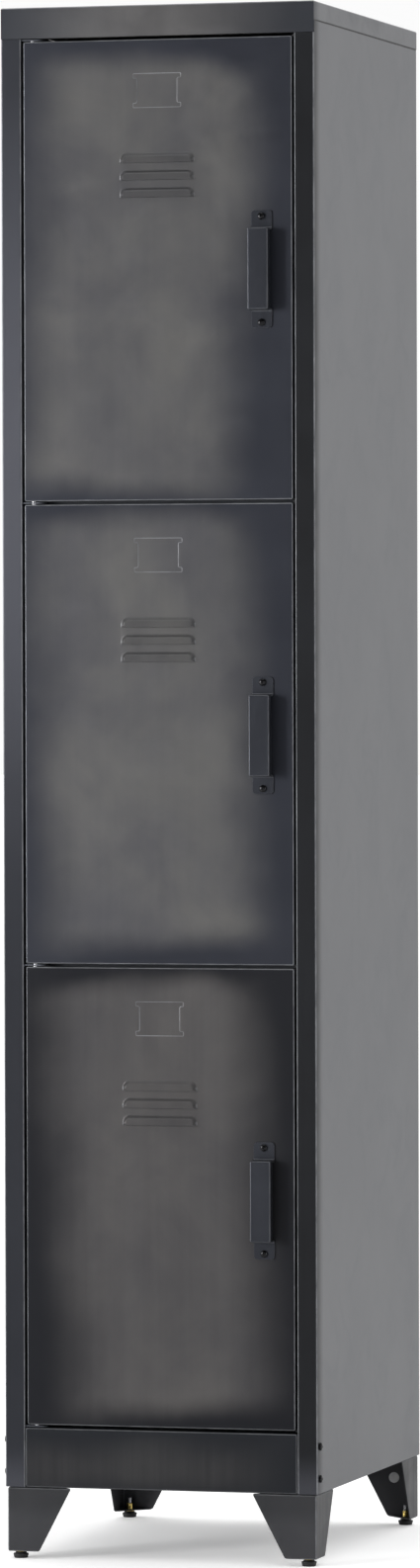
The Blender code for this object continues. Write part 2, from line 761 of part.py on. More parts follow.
def make_leg(name, side, end):
    """Two tapering plates folded at the outer corner, with a three-cornered top and foot plate."""
    outer_x, outer_y = corner_place(side, end, LEG_INSET)
    bm = box((0, 0, LEG_BOTTOM), (LEG_TOP_WIDTH, LEG_TOP_WIDTH, LEG_TOP))
    inner = [vert for vert in bm.verts if min(vert.co.x, vert.co.y) > 0]
    bmesh.ops.delete(bm, geom=inner, context="VERTS")
    for level in (LEG_BOTTOM, LEG_TOP):
        ends = [vert for vert in bm.verts if abs(vert.co.z - level) < 1e-6]
        bmesh.ops.contextual_create(bm, geom=ends)
    for vert in bm.verts:
        if vert.co.z < LEG_TOP - 1e-6:
            vert.co.x = min(vert.co.x, LEG_FOOT_WIDTH)
            vert.co.y = min(vert.co.y, LEG_FOOT_WIDTH)
    bmesh.ops.recalc_face_normals(bm, faces=bm.faces)
    bm.normal_update()
    if faces_towards(bm, (0, 0, 1))[0].calc_center_median().z < LEG_TOP - 1e-6:
        bmesh.ops.reverse_faces(bm, faces=bm.faces)
    folds = [edge for edge in bm.edges if edge.is_manifold]
    fold_edges(bm, folds)
    bmesh.ops.scale(bm, vec=(-side, -end, 1), verts=bm.verts)
    bmesh.ops.translate(bm, vec=(outer_x, outer_y, 0), verts=bm.verts)
    if side * end < 0:
        bmesh.ops.reverse_faces(bm, faces=bm.faces)
    leg = add_mesh(name, bm, BODY_PAINT)
    give_thickness(leg, LEG_SHEET)

    foot_x, foot_y = corner_place(side, end, FOOT_INSET)
    hole = rod((foot_x, foot_y, LEG_BOTTOM), INSERT_RADIUS + REST_GAP, 6 * LEG_SHEET)
    cut(leg, add_cutter(f"{name}_insert_cutter", hole))
    bolt_x, bolt_y = corner_place(side, end, BOLT_INSET)
    hole = rod((bolt_x, bolt_y, LEG_TOP), BOLT_RADIUS + SCREW_CLEARANCE, 6 * LEG_SHEET)
    cut(leg, add_cutter(f"{name}_bolt_cutter", hole))
    return leg


def make_leg_bolt(name, side, end):
    """A hexagon bolt up through the leg's gusset into the base panel."""
    bolt_x, bolt_y = corner_place(side, end, BOLT_INSET)
    seat = LEG_TOP - LEG_SHEET - REST_GAP
    head = rod((0, 0, -BOLT_HEAD_HEIGHT / 2), BOLT_HEAD_RADIUS, BOLT_HEAD_HEIGHT, steps=6)
    bolt = add_mesh(name, head, SCREW_STEEL)
    shank = rod((0, 0, BOLT_LENGTH / 2 - SHEET), BOLT_RADIUS, BOLT_LENGTH + 2 * SHEET)
    shank_part = add_cutter(f"{name}_shank", shank)
    join(bolt, shank_part)
    for part in (bolt, shank_part):
        part.location = (bolt_x, bolt_y, seat)
    return bolt


def make_leg_insert(name, side, end):
    """A threaded sleeve in the leg's foot plate, with its flat head under the plate."""
    head_top = LEG_BOTTOM - REST_GAP
    head_bottom = head_top - INSERT_HEAD
    top = LEG_BOTTOM + LEG_SHEET + INSERT_RISE
    bore = STUD_RADIUS + RUNNING_CLEARANCE
    profile = [
        (bore, top),
        (INSERT_RADIUS, top),
        (INSERT_RADIUS, head_top),
        (INSERT_HEAD_RADIUS, head_top),
        (INSERT_HEAD_RADIUS, head_bottom),
        (bore, head_bottom),
        (bore, top),
    ]
    insert = turned(name, profile, YELLOW_ZINC)
    insert.location = (*corner_place(side, end, FOOT_INSET), 0)
    return insert


def make_foot(label, side, end):
    """The plastic pad and the stud moulded into it, which screw up and down in the insert."""
    boss_top = LEG_BOTTOM - REST_GAP - INSERT_HEAD - REST_GAP
    socket = STUD_RADIUS + RUNNING_CLEARANCE
    profile = [
        (0, SOLE_THICKNESS),
        (socket, SOLE_THICKNESS),
        (socket, boss_top),
        (BOSS_RADIUS, boss_top),
        (BOSS_RADIUS, PAD_HEIGHT),
        (PAD_RADIUS, PAD_HEIGHT),
        (PAD_RADIUS, PAD_HEIGHT * 0.6),
        (PAD_SOLE_RADIUS, 0),
        (0, 0),
    ]
    pad = turned(f"foot_pad_{label}", profile, BLACK_PLASTIC, 20)
    stud_bottom = SOLE_THICKNESS + REST_GAP
    stud_top = LEG_BOTTOM + LEG_SHEET + INSERT_RISE + STUD_ABOVE_INSERT
    shaft = rod((0, 0, (stud_bottom + stud_top) / 2), STUD_RADIUS, stud_top - stud_bottom)
    stud = add_mesh(f"foot_stud_{label}", shaft, BRIGHT_STEEL)
    smooth(stud)
    axis = axis_empty(f"foot_{label}_axis", (*corner_place(side, end, FOOT_INSET), 0))
    for piece in (pad, stud):
        piece.location = axis.location
        hang(piece, axis)


def drill_base(base, corners):
    for label, side, end in corners:
        bolt_x, bolt_y = corner_place(side, end, BOLT_INSET)
        hole = rod((bolt_x, bolt_y, BODY_BOTTOM), BOLT_RADIUS + SCREW_CLEARANCE, 6 * SHEET)
        cut(base, add_cutter(f"base_{label}_cutter", hole))


def build_body(gap_heights):
    make_side_panel("side_panel_left", -1, gap_heights)
    make_side_panel("side_panel_right", 1)
    make_back_panel()
    make_lid()
    make_plinth()
    make_floor_panel()
    make_shelf("shelf_lower", gap_heights[1] + SHELF_RISE)
    make_shelf("shelf_upper", gap_heights[2] + SHELF_RISE)
    for side, word in ((-1, "left"), (1, "right")):
        for end, height in zip(("lower", "upper"), SIDE_SCREW_HEIGHTS):
            make_side_screw(f"side_screw_{word}_{end}", side, height)


def build_doors(bottoms, gap_heights):
    for label, bottom in zip(DOOR_NAMES, bottoms):
        make_door_set(label, bottom)
        make_catch(f"magnet_catch_{label}", bottom + DOOR_HEIGHT / 2)
    for number, height in enumerate(gap_heights, 1):
        make_hinge_plate(f"hinge_plate_{number}", height)
        up = number <= DOOR_COUNT
        make_hinge_pin(f"hinge_pin_{number}", height, up, number > 1)


def build_stand():
    corners = [
        (f"{depth_word}_{side_word}", side, end)
        for depth_word, end in (("front", -1), ("back", 1))
        for side_word, side in (("left", -1), ("right", 1))
    ]
    drill_base(make_base_panel(), corners)
    for label, side, end in corners:
        make_leg(f"leg_{label}", side, end)
        make_leg_bolt(f"leg_bolt_{label}", side, end)
        make_leg_insert(f"leg_insert_{label}", side, end)
        make_foot(label, side, end)


def build_locker():
    bottoms = [PLINTH_TOP + DOOR_GAP + number * DOOR_PITCH for number in range(DOOR_COUNT)]
    gap_heights = [PLINTH_TOP + DOOR_GAP / 2 + number * DOOR_PITCH for number in range(DOOR_COUNT + 1)]
    build_body(gap_heights)
    build_doors(bottoms, gap_heights)
    build_stand()


build_locker()
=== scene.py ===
from math import cos, pi, radians, sin, tan

import bmesh
import bpy
from mathutils import Matrix, Vector


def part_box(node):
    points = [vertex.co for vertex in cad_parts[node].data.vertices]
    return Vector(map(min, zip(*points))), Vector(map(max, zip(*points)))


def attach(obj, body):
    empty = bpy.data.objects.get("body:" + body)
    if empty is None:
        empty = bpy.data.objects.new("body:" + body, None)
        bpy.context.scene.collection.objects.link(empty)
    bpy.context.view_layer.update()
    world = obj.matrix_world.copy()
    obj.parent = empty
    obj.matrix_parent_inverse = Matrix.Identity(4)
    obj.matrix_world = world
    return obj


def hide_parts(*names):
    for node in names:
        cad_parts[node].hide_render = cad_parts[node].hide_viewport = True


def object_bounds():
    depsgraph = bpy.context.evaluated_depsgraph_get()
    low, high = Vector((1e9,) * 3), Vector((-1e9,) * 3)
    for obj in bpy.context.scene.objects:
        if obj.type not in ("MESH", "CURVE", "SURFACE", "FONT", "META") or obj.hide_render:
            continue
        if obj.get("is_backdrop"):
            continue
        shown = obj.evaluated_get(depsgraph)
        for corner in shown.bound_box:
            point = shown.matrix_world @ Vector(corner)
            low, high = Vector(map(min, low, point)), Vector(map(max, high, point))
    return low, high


# Three-door steel locker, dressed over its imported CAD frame. Metres, +Z up, doors face -Y.

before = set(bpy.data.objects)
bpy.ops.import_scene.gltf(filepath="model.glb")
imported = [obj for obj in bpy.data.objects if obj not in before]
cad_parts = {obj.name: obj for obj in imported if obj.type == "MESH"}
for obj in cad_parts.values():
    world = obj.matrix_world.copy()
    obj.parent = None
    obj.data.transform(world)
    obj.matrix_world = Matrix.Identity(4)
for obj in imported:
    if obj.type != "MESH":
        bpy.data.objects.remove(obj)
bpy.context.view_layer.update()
print("frame loaded with", len(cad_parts), "nodes")

doorNames = ("lower", "middle", "upper")
sides = {"left": -1, "right": 1}
corners = [(end, side) for end in ("front", "back") for side in ("left", "right")]

sheet = {
    "thickness": 0.0010,
    "fold": 0.0020,  # outside radius of a bend
    "foldSteps": 5,
    "rim": 0.00018,  # tiny bevel on every cut edge
    "crown": 0.12,  # how far round a bend the paint is lightened, as wear and painted highlight
}


# ---- mesh helpers

def boxBetween(low, high):
    low, high = Vector(low), Vector(high)
    bm = bmesh.new()
    bmesh.ops.create_cube(bm, size=1)
    bmesh.ops.scale(bm, vec=high - low, verts=bm.verts)
    bmesh.ops.translate(bm, vec=(low + high) / 2, verts=bm.verts)
    return bm


def facesTowards(bm, direction):
    bm.normal_update()
    return [face for face in bm.faces if face.normal.dot(Vector(direction)) > 0.99]


def foldEdges(bm, edges, radius=sheet["fold"], steps=sheet["foldSteps"]):
    # rounds the bends and marks their faces, where the paint is lightened as wear and as painted
    # highlight
    layer = bm.faces.layers.float.get("fold") or bm.faces.layers.float.new("fold")
    made = bmesh.ops.bevel(bm, geom=edges, offset=radius, segments=steps,
                           profile=0.5, affect="EDGES", material=-1)
    bm.normal_update()
    for face in made["faces"]:
        # the crown of a bend is lightened most, its ends keep their paint
        bend = 0.995 - max(map(abs, face.normal))
        face[layer] = ease(min(1, max(0, bend / sheet["crown"])))
    return made["faces"]


def axisOf(node):
    # where an upright part's axis stands, in plan
    low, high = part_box(node)
    return (low.x + high.x) / 2, (low.y + high.y) / 2


def sharpEdges(bm, angle=1.0):
    bm.normal_update()
    return [edge for edge in bm.edges if edge.is_manifold and edge.calc_face_angle() > angle]


def vertsOf(geometry):
    return [item for item in geometry if isinstance(item, bmesh.types.BMVert)]


def splitAt(bm, place, direction):
    geometry = list(bm.verts) + list(bm.edges) + list(bm.faces)
    bmesh.ops.bisect_plane(bm, geom=geometry, plane_co=place, plane_no=direction)


def openBox(low, high, opening, lip=0):
    # a pan of folded sheet, open on one side, with its edge turned in there by the lip
    bm = boxBetween(low, high)
    mouth = facesTowards(bm, opening)
    if lip:
        bmesh.ops.inset_region(bm, faces=mouth, thickness=lip, use_even_offset=True)
    bmesh.ops.delete(bm, geom=mouth, context="FACES_ONLY")
    foldEdges(bm, sharpEdges(bm))
    return bm


def roundedLoop(points, radius, steps=5):
    # a closed outline with every corner turned into an arc
    loop = []
    for index, corner in enumerate(points):
        before = Vector(points[index - 1])
        after = Vector(points[(index + 1) % len(points)])
        corner = Vector(corner)
        toBefore = (before - corner).normalized()
        toAfter = (after - corner).normalized()
        halfAngle = toBefore.angle(toAfter) / 2
        centre = corner + (toBefore + toAfter).normalized() * radius / sin(halfAngle)
        start = corner + toBefore * radius / tan(halfAngle) - centre
        turn = start.angle_signed(corner + toAfter * radius / tan(halfAngle) - centre)
        loop += [centre + Matrix.Rotation(-turn * step / steps, 2) @ start
                 for step in range(steps + 1)]
    return loop


def circleLoop(centre, radius, steps=24):
    return [Vector((centre[0] + radius * cos(2 * pi * step / steps),
                    centre[1] + radius * sin(2 * pi * step / steps)))
            for step in range(steps)]


def drawLoop(bm, points):
    verts = [bm.verts.new(point) for point in points]
    edges = [bm.edges.new((verts[index - 1], vert)) for index, vert in enumerate(verts)]
    return verts, edges


def cutLoops(bm, face, loops):
    # fills the face again round the loops, which leaves a hole inside each of them
    normal = face.normal.copy()
    rim = list(face.edges)
    bmesh.ops.delete(bm, geom=[face], context="FACES_ONLY")
    drawn = [drawLoop(bm, points) for points in loops]
    filled = bmesh.ops.triangle_fill(
        bm, edges=rim + [edge for _, edges in drawn for edge in edges],
        use_beauty=True, use_dissolve=False, normal=normal)
    for item in filled["geom"]:
        if isinstance(item, bmesh.types.BMFace):
            item.normal_update()
            if item.normal.dot(normal) < 0:
                item.normal_flip()
    return drawn


def closeLoop(bm, verts, normal):
    face = bm.faces.new(verts)
    face.normal_update()
    if face.normal.dot(normal) < 0:
        face.normal_flip()
    return face


def pressFace(bm, face, direction, width, height, steps, wear):
    # presses the face out through a soft shoulder of this width, which is lightened like a bend
    layer = bm.faces.layers.float["fold"]
    rings = []
    for step in range(1, steps + 1):
        before, after = (step - 1) / steps, step / steps
        rise = height * (ease(after) - ease(before))
        ring = bmesh.ops.inset_region(bm, faces=[face], thickness=width / steps,
                                      use_even_offset=True, use_boundary=False)["faces"]
        for part in ring:
            part[layer] = wear
        rings += ring
        bmesh.ops.translate(bm, vec=direction * rise, verts=list(face.verts))
    return rings


def ease(share):
    return share * share * (3 - 2 * share)


def turned(profile, steps=32):
    # turned about Z from a profile of (radius, height)
    bm = bmesh.new()
    verts = [bm.verts.new((radius, 0, height)) for radius, height in profile]
    edges = [bm.edges.new(pair) for pair in zip(verts, verts[1:])]
    bmesh.ops.spin(bm, geom=verts + edges, cent=(0, 0, 0), axis=(0, 0, 1),
                   angle=2 * pi, steps=steps, use_merge=True)
    bmesh.ops.remove_doubles(bm, verts=bm.verts, dist=1e-6)
    bmesh.ops.recalc_face_normals(bm, faces=bm.faces)
    return bm


def arcProfile(centre, radius, first, last, steps=5):
    # points of an arc in a profile, with its angles in degrees from the outward direction
    return [(centre[0] + radius * cos(radians(first + (last - first) * step / steps)),
             centre[1] + radius * sin(radians(first + (last - first) * step / steps)))
            for step in range(steps + 1)]


def threadedRod(radius, depth, pitch, low, high, steps=20):
    # a real thread: one tooth swept round a helix, then cut flat at both ends
    bm = bmesh.new()
    tooth = [(radius - depth, 0), (radius, pitch * 0.42), (radius, pitch * 0.58),
             (radius - depth, pitch)]
    verts = [bm.verts.new((across, 0, low - pitch + up)) for across, up in tooth]
    edges = [bm.edges.new(pair) for pair in zip(verts, verts[1:])]
    turns = int((high - low) / pitch) + 3
    bmesh.ops.spin(bm, geom=verts + edges, cent=(0, 0, 0), axis=(0, 0, 1),
                   dvec=(0, 0, pitch / steps), angle=2 * pi * turns, steps=steps * turns,
                   use_merge=False)
    bmesh.ops.remove_doubles(bm, verts=bm.verts, dist=1e-6)
    for height, up in ((low, -1), (high, 1)):
        geometry = list(bm.verts) + list(bm.edges) + list(bm.faces)
        bmesh.ops.bisect_plane(bm, geom=geometry, plane_co=(0, 0, height),
                               plane_no=(0, 0, up), clear_outer=True)
        ends = [edge for edge in bm.edges if edge.is_boundary
                and all(abs(vert.co.z - height) < 1e-6 for vert in edge.verts)]
        bmesh.ops.edgeloop_fill(bm, edges=ends)
    bmesh.ops.recalc_face_normals(bm, faces=bm.faces)
    return bm


def addTo(bm, other):
    part = bpy.data.meshes.new("part")
    other.to_mesh(part)
    other.free()
    bm.from_mesh(part)
    bpy.data.meshes.remove(part)


def placePiece(bm, place, direction):
    # turns a piece modelled along +Z to face the direction and moves it to its place
    turn = Vector((0, 0, 1)).rotation_difference(Vector(direction)).to_matrix().to_4x4()
    bmesh.ops.transform(bm, matrix=Matrix.Translation(place) @ turn, verts=bm.verts)
    return bm


def makeObject(name, bm, materials=()):
    mesh = bpy.data.meshes.new(name)
    bm.to_mesh(mesh)
    bm.free()
    for material in materials:
        mesh.materials.append(material)
    obj = bpy.data.objects.new(name, mesh)
    bpy.context.scene.collection.objects.link(obj)
    return obj


def finishPiece(name, bm, body, nodes, materials, thickness=0, rim=sheet["rim"]):
    piece = makeObject(name, bm, materials)
    piece.data.shade_smooth()
    if thickness:
        wall = piece.modifiers.new("sheet wall", "SOLIDIFY")
        wall.thickness = thickness
        wall.offset = -1
        wall.use_even_offset = True
        # the first material is the outside, the second of three the inside, the last the edge
        wall.material_offset = 1 if len(materials) == 3 else 0
        wall.material_offset_rim = len(materials) - 1
    if rim:
        edge = piece.modifiers.new("cut edge", "BEVEL")
        edge.width = rim
        edge.segments = 2
        edge.limit_method = "ANGLE"
        edge.angle_limit = radians(42)
        edge.use_clamp_overlap = False
    flat = piece.modifiers.new("flat faces", "WEIGHTED_NORMAL")
    flat.mode = "FACE_AREA"
    flat.weight = 80
    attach(piece, body)
    if nodes:
        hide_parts(*nodes)
    return piece


# ---- shader helpers

def shade(red, green, blue):
    # a display colour, 0 to 255, as the linear one that a shader takes
    def linear(value):
        value /= 255
        return value / 12.92 if value <= 0.04045 else ((value + 0.055) / 1.055) ** 2.4
    return (linear(red), linear(green), linear(blue), 1)


def addNode(tree, kind, links=None, **settings):
    # adds a node; links maps its inputs to sockets of other nodes or to plain values
    node = tree.nodes.new(kind)
    for name, value in settings.items():
        setattr(node, name, value)
    for name, value in (links or {}).items():
        socket = node.inputs[name]
        if isinstance(value, bpy.types.NodeSocket):
            tree.links.new(value, socket)
        else:
            socket.default_value = value
    return node


def maths(tree, operation, first, second=0.0, clamp=False):
    return addNode(tree, "ShaderNodeMath", {0: first, 1: second},
                   operation=operation, use_clamp=clamp).outputs[0]


def ramp(tree, value, low, high, start=0.0, end=1.0):
    return addNode(tree, "ShaderNodeMapRange", {
        "Value": value, "From Min": low, "From Max": high, "To Min": start, "To Max": end,
    }, interpolation_type="SMOOTHSTEP").outputs["Result"]


def blendColour(tree, share, first, second, how="MIX"):
    node = tree.nodes.new("ShaderNodeMix")
    node.data_type = "RGBA"
    node.blend_type = how
    for socket, value in ((node.inputs[0], share), (node.inputs[6], first),
                          (node.inputs[7], second)):
        if isinstance(value, bpy.types.NodeSocket):
            tree.links.new(value, socket)
        else:
            socket.default_value = value
    return node.outputs[2]


def newGroup(name, inputs, outputs):
    tree = bpy.data.node_groups.new(name, "ShaderNodeTree")
    tree.interface.new_socket("Place", in_out="INPUT", socket_type="NodeSocketVector")
    for label, value in inputs.items():
        socket = tree.interface.new_socket(label, in_out="INPUT", socket_type="NodeSocketFloat")
        socket.default_value = value
    for label in outputs:
        tree.interface.new_socket(label, in_out="OUTPUT", socket_type="NodeSocketFloat")
    given = tree.nodes.new("NodeGroupInput").outputs
    return tree, given, tree.nodes.new("NodeGroupOutput").inputs


def noise(tree, place, scale, detail=3.0, roughness=0.55, distortion=0.0):
    return addNode(tree, "ShaderNodeTexNoise", {
        "Vector": place, "Scale": scale, "Detail": detail,
        "Roughness": roughness, "Distortion": distortion,
    }).outputs["Fac"]


def axesOf(tree, place):
    return addNode(tree, "ShaderNodeSeparateXYZ", {0: place}).outputs


def stretched(tree, place, scale, location=(0, 0, 0), rotation=(0, 0, 0)):
    return addNode(tree, "ShaderNodeMapping", {
        "Vector": place, "Scale": scale, "Location": location, "Rotation": rotation,
    }).outputs["Vector"]


def makeSprayFade():
    # 0 at the rim of a panel and 1 on its rubbed-through middle
    tree, given, result = newGroup("spray fade", {
        "Half Width": 0.16, "Half Height": 0.26, "Side Reach": 0.08, "End Reach": 0.05,
        "Waver": 0.03}, ["Fade"])
    axes = axesOf(tree, given["Place"])
    sway = maths(tree, "SUBTRACT", noise(tree, given["Place"], 7, 3, 0.5), 0.5)
    sway = maths(tree, "MULTIPLY", sway, given["Waver"])
    fades = []
    for along, half, reach in (("X", "Half Width", "Side Reach"),
                               ("Z", "Half Height", "End Reach")):
        inside = maths(tree, "SUBTRACT", given[half], maths(tree, "ABSOLUTE", axes[along]))
        inside = maths(tree, "ADD", inside, sway)
        fades.append(ramp(tree, maths(tree, "DIVIDE", inside, given[reach]), 0, 1))
    tree.links.new(maths(tree, "MULTIPLY", *fades), result["Fade"])
    return tree


def makeClouds():
    # hand-rubbed lacquer: slow clouds, faint upright wiping marks and a fine tooth
    tree, given, result = newGroup("rubbed clouds", {"Cloud Scale": 9.0},
                                   ["Clouds", "Wipes", "Tooth"])
    clouds = noise(tree, given["Place"], given["Cloud Scale"], 8, 0.62, 0.3)
    tree.links.new(ramp(tree, clouds, 0.20, 0.80), result["Clouds"])
    wipes = noise(tree, stretched(tree, given["Place"], (95, 95, 2.2)), 1, 4, 0.6)
    tree.links.new(ramp(tree, wipes, 0.25, 0.75), result["Wipes"])
    tree.links.new(noise(tree, given["Place"], 1400, 2, 0.6), result["Tooth"])
    return tree


def makeFoldWear():
    # where the bends are lightened, partly as paint rubbed off and partly as painted highlight,
    # broken up so that no bend is even
    tree, given, result = newGroup("fold wear", {"Amount": 0.6}, ["Wear"])
    fold = addNode(tree, "ShaderNodeAttribute", attribute_name="fold").outputs["Fac"]
    patches = ramp(tree, noise(tree, given["Place"], 38, 5, 0.65), 0.30, 0.70, 0.5, 1)
    wear = maths(tree, "MULTIPLY", fold, patches)
    tree.links.new(maths(tree, "MULTIPLY", wear, given["Amount"], True), result["Wear"])
    return tree


def makeSmudges():
    # handling marks and dust film: soft blotches that only change the gloss
    tree, given, result = newGroup("smudges", {"Scale": 16.0}, ["Smudge", "Dust"])
    blotch = noise(tree, given["Place"], given["Scale"], 5, 0.6, 1.1)
    tree.links.new(ramp(tree, blotch, 0.45, 0.72), result["Smudge"])
    dust = noise(tree, given["Place"], 260, 3, 0.7)
    tree.links.new(ramp(tree, dust, 0.60, 0.78), result["Dust"])
    return tree


groups = {
    "sprayFade": makeSprayFade(),
    "clouds": makeClouds(),
    "foldWear": makeFoldWear(),
    "smudges": makeSmudges(),
}


def useGroup(tree, name, links):
    node = tree.nodes.new("ShaderNodeGroup")
    node.node_tree = groups[name]
    for label, value in links.items():
        if isinstance(value, bpy.types.NodeSocket):
            tree.links.new(value, node.inputs[label])
        else:
            node.inputs[label].default_value = value
    return node.outputs


def weather(tree, place, cloudScale, smudgeScale, amount):
    clouds = useGroup(tree, "clouds", {"Place": place, "Cloud Scale": cloudScale})
    smudges = useGroup(tree, "smudges", {"Place": place, "Scale": smudgeScale})
    # the bends' lightening: worn paint and painted highlight
    wear = useGroup(tree, "foldWear", {"Place": place, "Amount": amount})["Wear"]
    return clouds, smudges, wear


def startMaterial(name, metallic, specular=0.5):
    material = bpy.data.materials.new(name)
    material.use_nodes = True
    tree = material.node_tree
    shader = tree.nodes["Principled BSDF"]
    shader.inputs["Metallic"].default_value = metallic
    shader.inputs["Specular IOR Level"].default_value = specular
    place = addNode(tree, "ShaderNodeTexCoord").outputs["Object"]
    return material, tree, shader, place


def addGloss(tree, shader, gloss, smudges, smear, dust=0):
    # handling marks and dust dull the surface by these amounts
    gloss = maths(tree, "ADD", gloss, maths(tree, "MULTIPLY", smudges["Smudge"], smear))
    if dust:
        gloss = maths(tree, "ADD", gloss, maths(tree, "MULTIPLY", smudges["Dust"], dust))
    tree.links.new(gloss, shader.inputs["Roughness"])


def addBump(tree, shader, height, strength, distance):
    bump = addNode(tree, "ShaderNodeBump", {
        "Height": height, "Strength": strength, "Distance": distance})
    tree.links.new(bump.outputs["Normal"], shader.inputs["Normal"])


lidLow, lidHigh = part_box("lid")
# the joint between the lid and the sides; its dark tone is painted shade of the seam, with some
# grime
seam = {
    "height": lidHigh.z - 0.022, "inner": 0.0006, "outer": 0.0016, "share": 0.97,
    "tone": shade(18, 18, 20),
}
bareAndHighlightTone = shade(150, 152, 156)  # rubbed steel, also standing in for painted highlight
backBlend = (0.0005, 0.030)  # where a front turns to side grey, behind its face


def seamShadeAndGrime(tree, axes, front, colour):
    # painted shade with some grime: a dark line along the joint between the lid and the sides,
    # where the seam's shadow falls, but not on the front
    distance = maths(tree, "ABSOLUTE", maths(tree, "SUBTRACT", axes["Z"], seam["height"]))
    seamShade = ramp(tree, distance, seam["inner"], seam["outer"], seam["share"], 0)
    behind = ramp(tree, axes["Y"], front + 0.001, front + 0.002)
    return blendColour(tree, maths(tree, "MULTIPLY", seamShade, behind), colour, seam["tone"])


# ---- finishes

def makeRubbedLacquer(name, look):
    # blue-black lacquer sprayed round the rim and rubbed back to warm gunmetal in the middle
    material, tree, shader, place = startMaterial(name, look["metallic"], 0.3)
    centred = stretched(tree, place, (1, 1, 1), tuple(-part for part in look["centre"]))
    centred = stretched(tree, centred, (1, 1, 1), rotation=(0, -radians(look["lean"]), 0))
    shifted = stretched(tree, place, (1, 1, 1), look["shift"])
    fade = useGroup(tree, "sprayFade", {
        "Place": centred, "Half Width": look["half"][0], "Half Height": look["half"][1],
        "Side Reach": look["reach"][0], "End Reach": look["reach"][1], "Waver": look["waver"]})
    clouds, smudges, wear = weather(tree, shifted, look["cloudScale"], 14.0, look["wear"])

    fadeShare = fade["Fade"]
    middle = blendColour(tree, clouds["Clouds"], look["middleDark"], look["middleLight"])
    colour = blendColour(tree, fadeShare, look["rim"], middle)
    wiped = maths(tree, "MULTIPLY", clouds["Wipes"], look["wipes"])
    wiped = maths(tree, "MULTIPLY", wiped, fadeShare)
    colour = blendColour(tree, wiped, colour, look["wipeTone"])
    if "sides" in look:
        # the lid's sides and top carry the same even grey as the side panels
        axes = axesOf(tree, place)
        back = ramp(tree, axes["Y"], *[look["sides"] + reach for reach in backBlend])
        colour = blendColour(tree, back, colour, look["sideTone"])
        colour = seamShadeAndGrime(tree, axes, look["sides"], colour)
    colour = blendColour(tree, wear, colour, look["bareAndHighlight"])
    tree.links.new(colour, shader.inputs["Base Color"])

    gloss = ramp(tree, clouds["Clouds"], 0, 1, *look["rough"])
    addGloss(tree, shader, gloss, smudges, 0.05, 0.10)
    addBump(tree, shader, clouds["Tooth"], 0.12, 0.0001)
    return material


lacquer = {
    "metallic": 0.7, "wear": 0.65, "waver": 0.050, "lean": 0,
    "cloudScale": 7.0, "wipes": 0.06, "rough": (0.36, 0.43),
    "rim": shade(42, 44, 51), "middleDark": shade(72, 72, 76),
    "middleLight": shade(88, 87, 85), "wipeTone": shade(106, 105, 106),
    "bareAndHighlight": bareAndHighlightTone,
}
doorTones = {
    # how each door was rubbed: drift of the bare middle, its lean, reach and tones
    "lower": {"drift": (0.002, 0), "lean": -3, "reach": (0.095, 0.040), "rim": shade(25, 26, 30),
              "middleDark": shade(64, 63, 65), "middleLight": shade(79, 77, 76)},
    "middle": {"drift": (-0.013, 0.004), "lean": -2, "reach": (0.085, 0.044),
               "rim": shade(41, 43, 50)},
    "upper": {"drift": (-0.020, -0.008), "lean": 4, "reach": (0.085, 0.044),
              "rim": shade(43, 45, 52)},
}

doorMaterials = {}
for number, name in enumerate(doorNames):
    low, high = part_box("door_" + name)
    tones = doorTones[name]
    doorMaterials[name] = makeRubbedLacquer("rubbed lacquer, %s door" % name, {
        **lacquer, **tones,
        "centre": ((low.x + high.x) / 2 + tones["drift"][0], 0,
                   (low.z + high.z) / 2 + tones["drift"][1]),
        "half": ((high.x - low.x) / 2, (high.z - low.z) / 2),
        "shift": (0.37 * number, 0.11 * number, 0.05),
    })

lidMaterial = makeRubbedLacquer("rubbed lacquer, lid", {
    **lacquer, "centre": (-0.005, 0, lidHigh.z - 0.018), "half": (0.190, 0.3),
    "reach": (0.16, 0.05), "shift": (0.9, 0.2, 0), "rim": shade(50, 52, 57),
    "middleDark": shade(80, 79, 80), "middleLight": shade(94, 93, 93), "sides": lidLow.y,
    "sideTone": shade(94, 95, 98)})
plinthMaterial = makeRubbedLacquer("rubbed lacquer, plinth", {
    **lacquer, "centre": (-0.03, 0, 0.108), "half": (0.20, 0.045), "reach": (0.10, 0.04),
    "shift": (1.7, 0.4, 0), "rim": shade(30, 32, 36), "wear": 0.35,
    "middleDark": shade(42, 42, 44), "middleLight": shade(49, 49, 50)})


def makeSideLacquer(name, postEdge, tones):
    # the posts are blue-black; the lacquer turns to even mid grey behind the front bend
    material, tree, shader, place = startMaterial(name, 0.6, specular=0.4)
    axes = axesOf(tree, place)
    clouds, smudges, wear = weather(tree, place, 5.0, 13.0, 0.65)
    back = ramp(tree, axes["Y"], *[postEdge + reach for reach in backBlend])
    post = blendColour(tree, clouds["Clouds"], tones["postDark"], tones["postLight"])
    side = blendColour(tree, clouds["Clouds"], shade(92, 93, 96), shade(98, 99, 102))
    # painted reflection: the left post is lit lighter halfway up, where the left softbox
    # reflects, and both are lighter at their feet
    rubbed = maths(tree, "MULTIPLY", ramp(tree, axes["Z"], 0.70, 1.25),
                   ramp(tree, axes["Z"], 1.30, 1.85, 1, 0))
    rubbed = maths(tree, "ADD", maths(tree, "MULTIPLY", rubbed, tones["rubbed"]),
                   ramp(tree, axes["Z"], 0.085, 0.135, 0.45, 0), True)
    post = blendColour(tree, rubbed, post, shade(76, 77, 84))
    colour = blendColour(tree, back, post, side)
    smears = maths(tree, "MULTIPLY", smudges["Smudge"], maths(tree, "MULTIPLY", back, 0.20))
    colour = blendColour(tree, smears, colour, shade(118, 120, 124))
    colour = blendColour(tree, wear, colour, bareAndHighlightTone)
    colour = seamShadeAndGrime(tree, axes, postEdge, colour)
    tree.links.new(colour, shader.inputs["Base Color"])
    addGloss(tree, shader, ramp(tree, clouds["Clouds"], 0, 1, 0.40, 0.46), smudges, 0.06)
    addBump(tree, shader, clouds["Tooth"], 0.10, 0.0001)
    return material


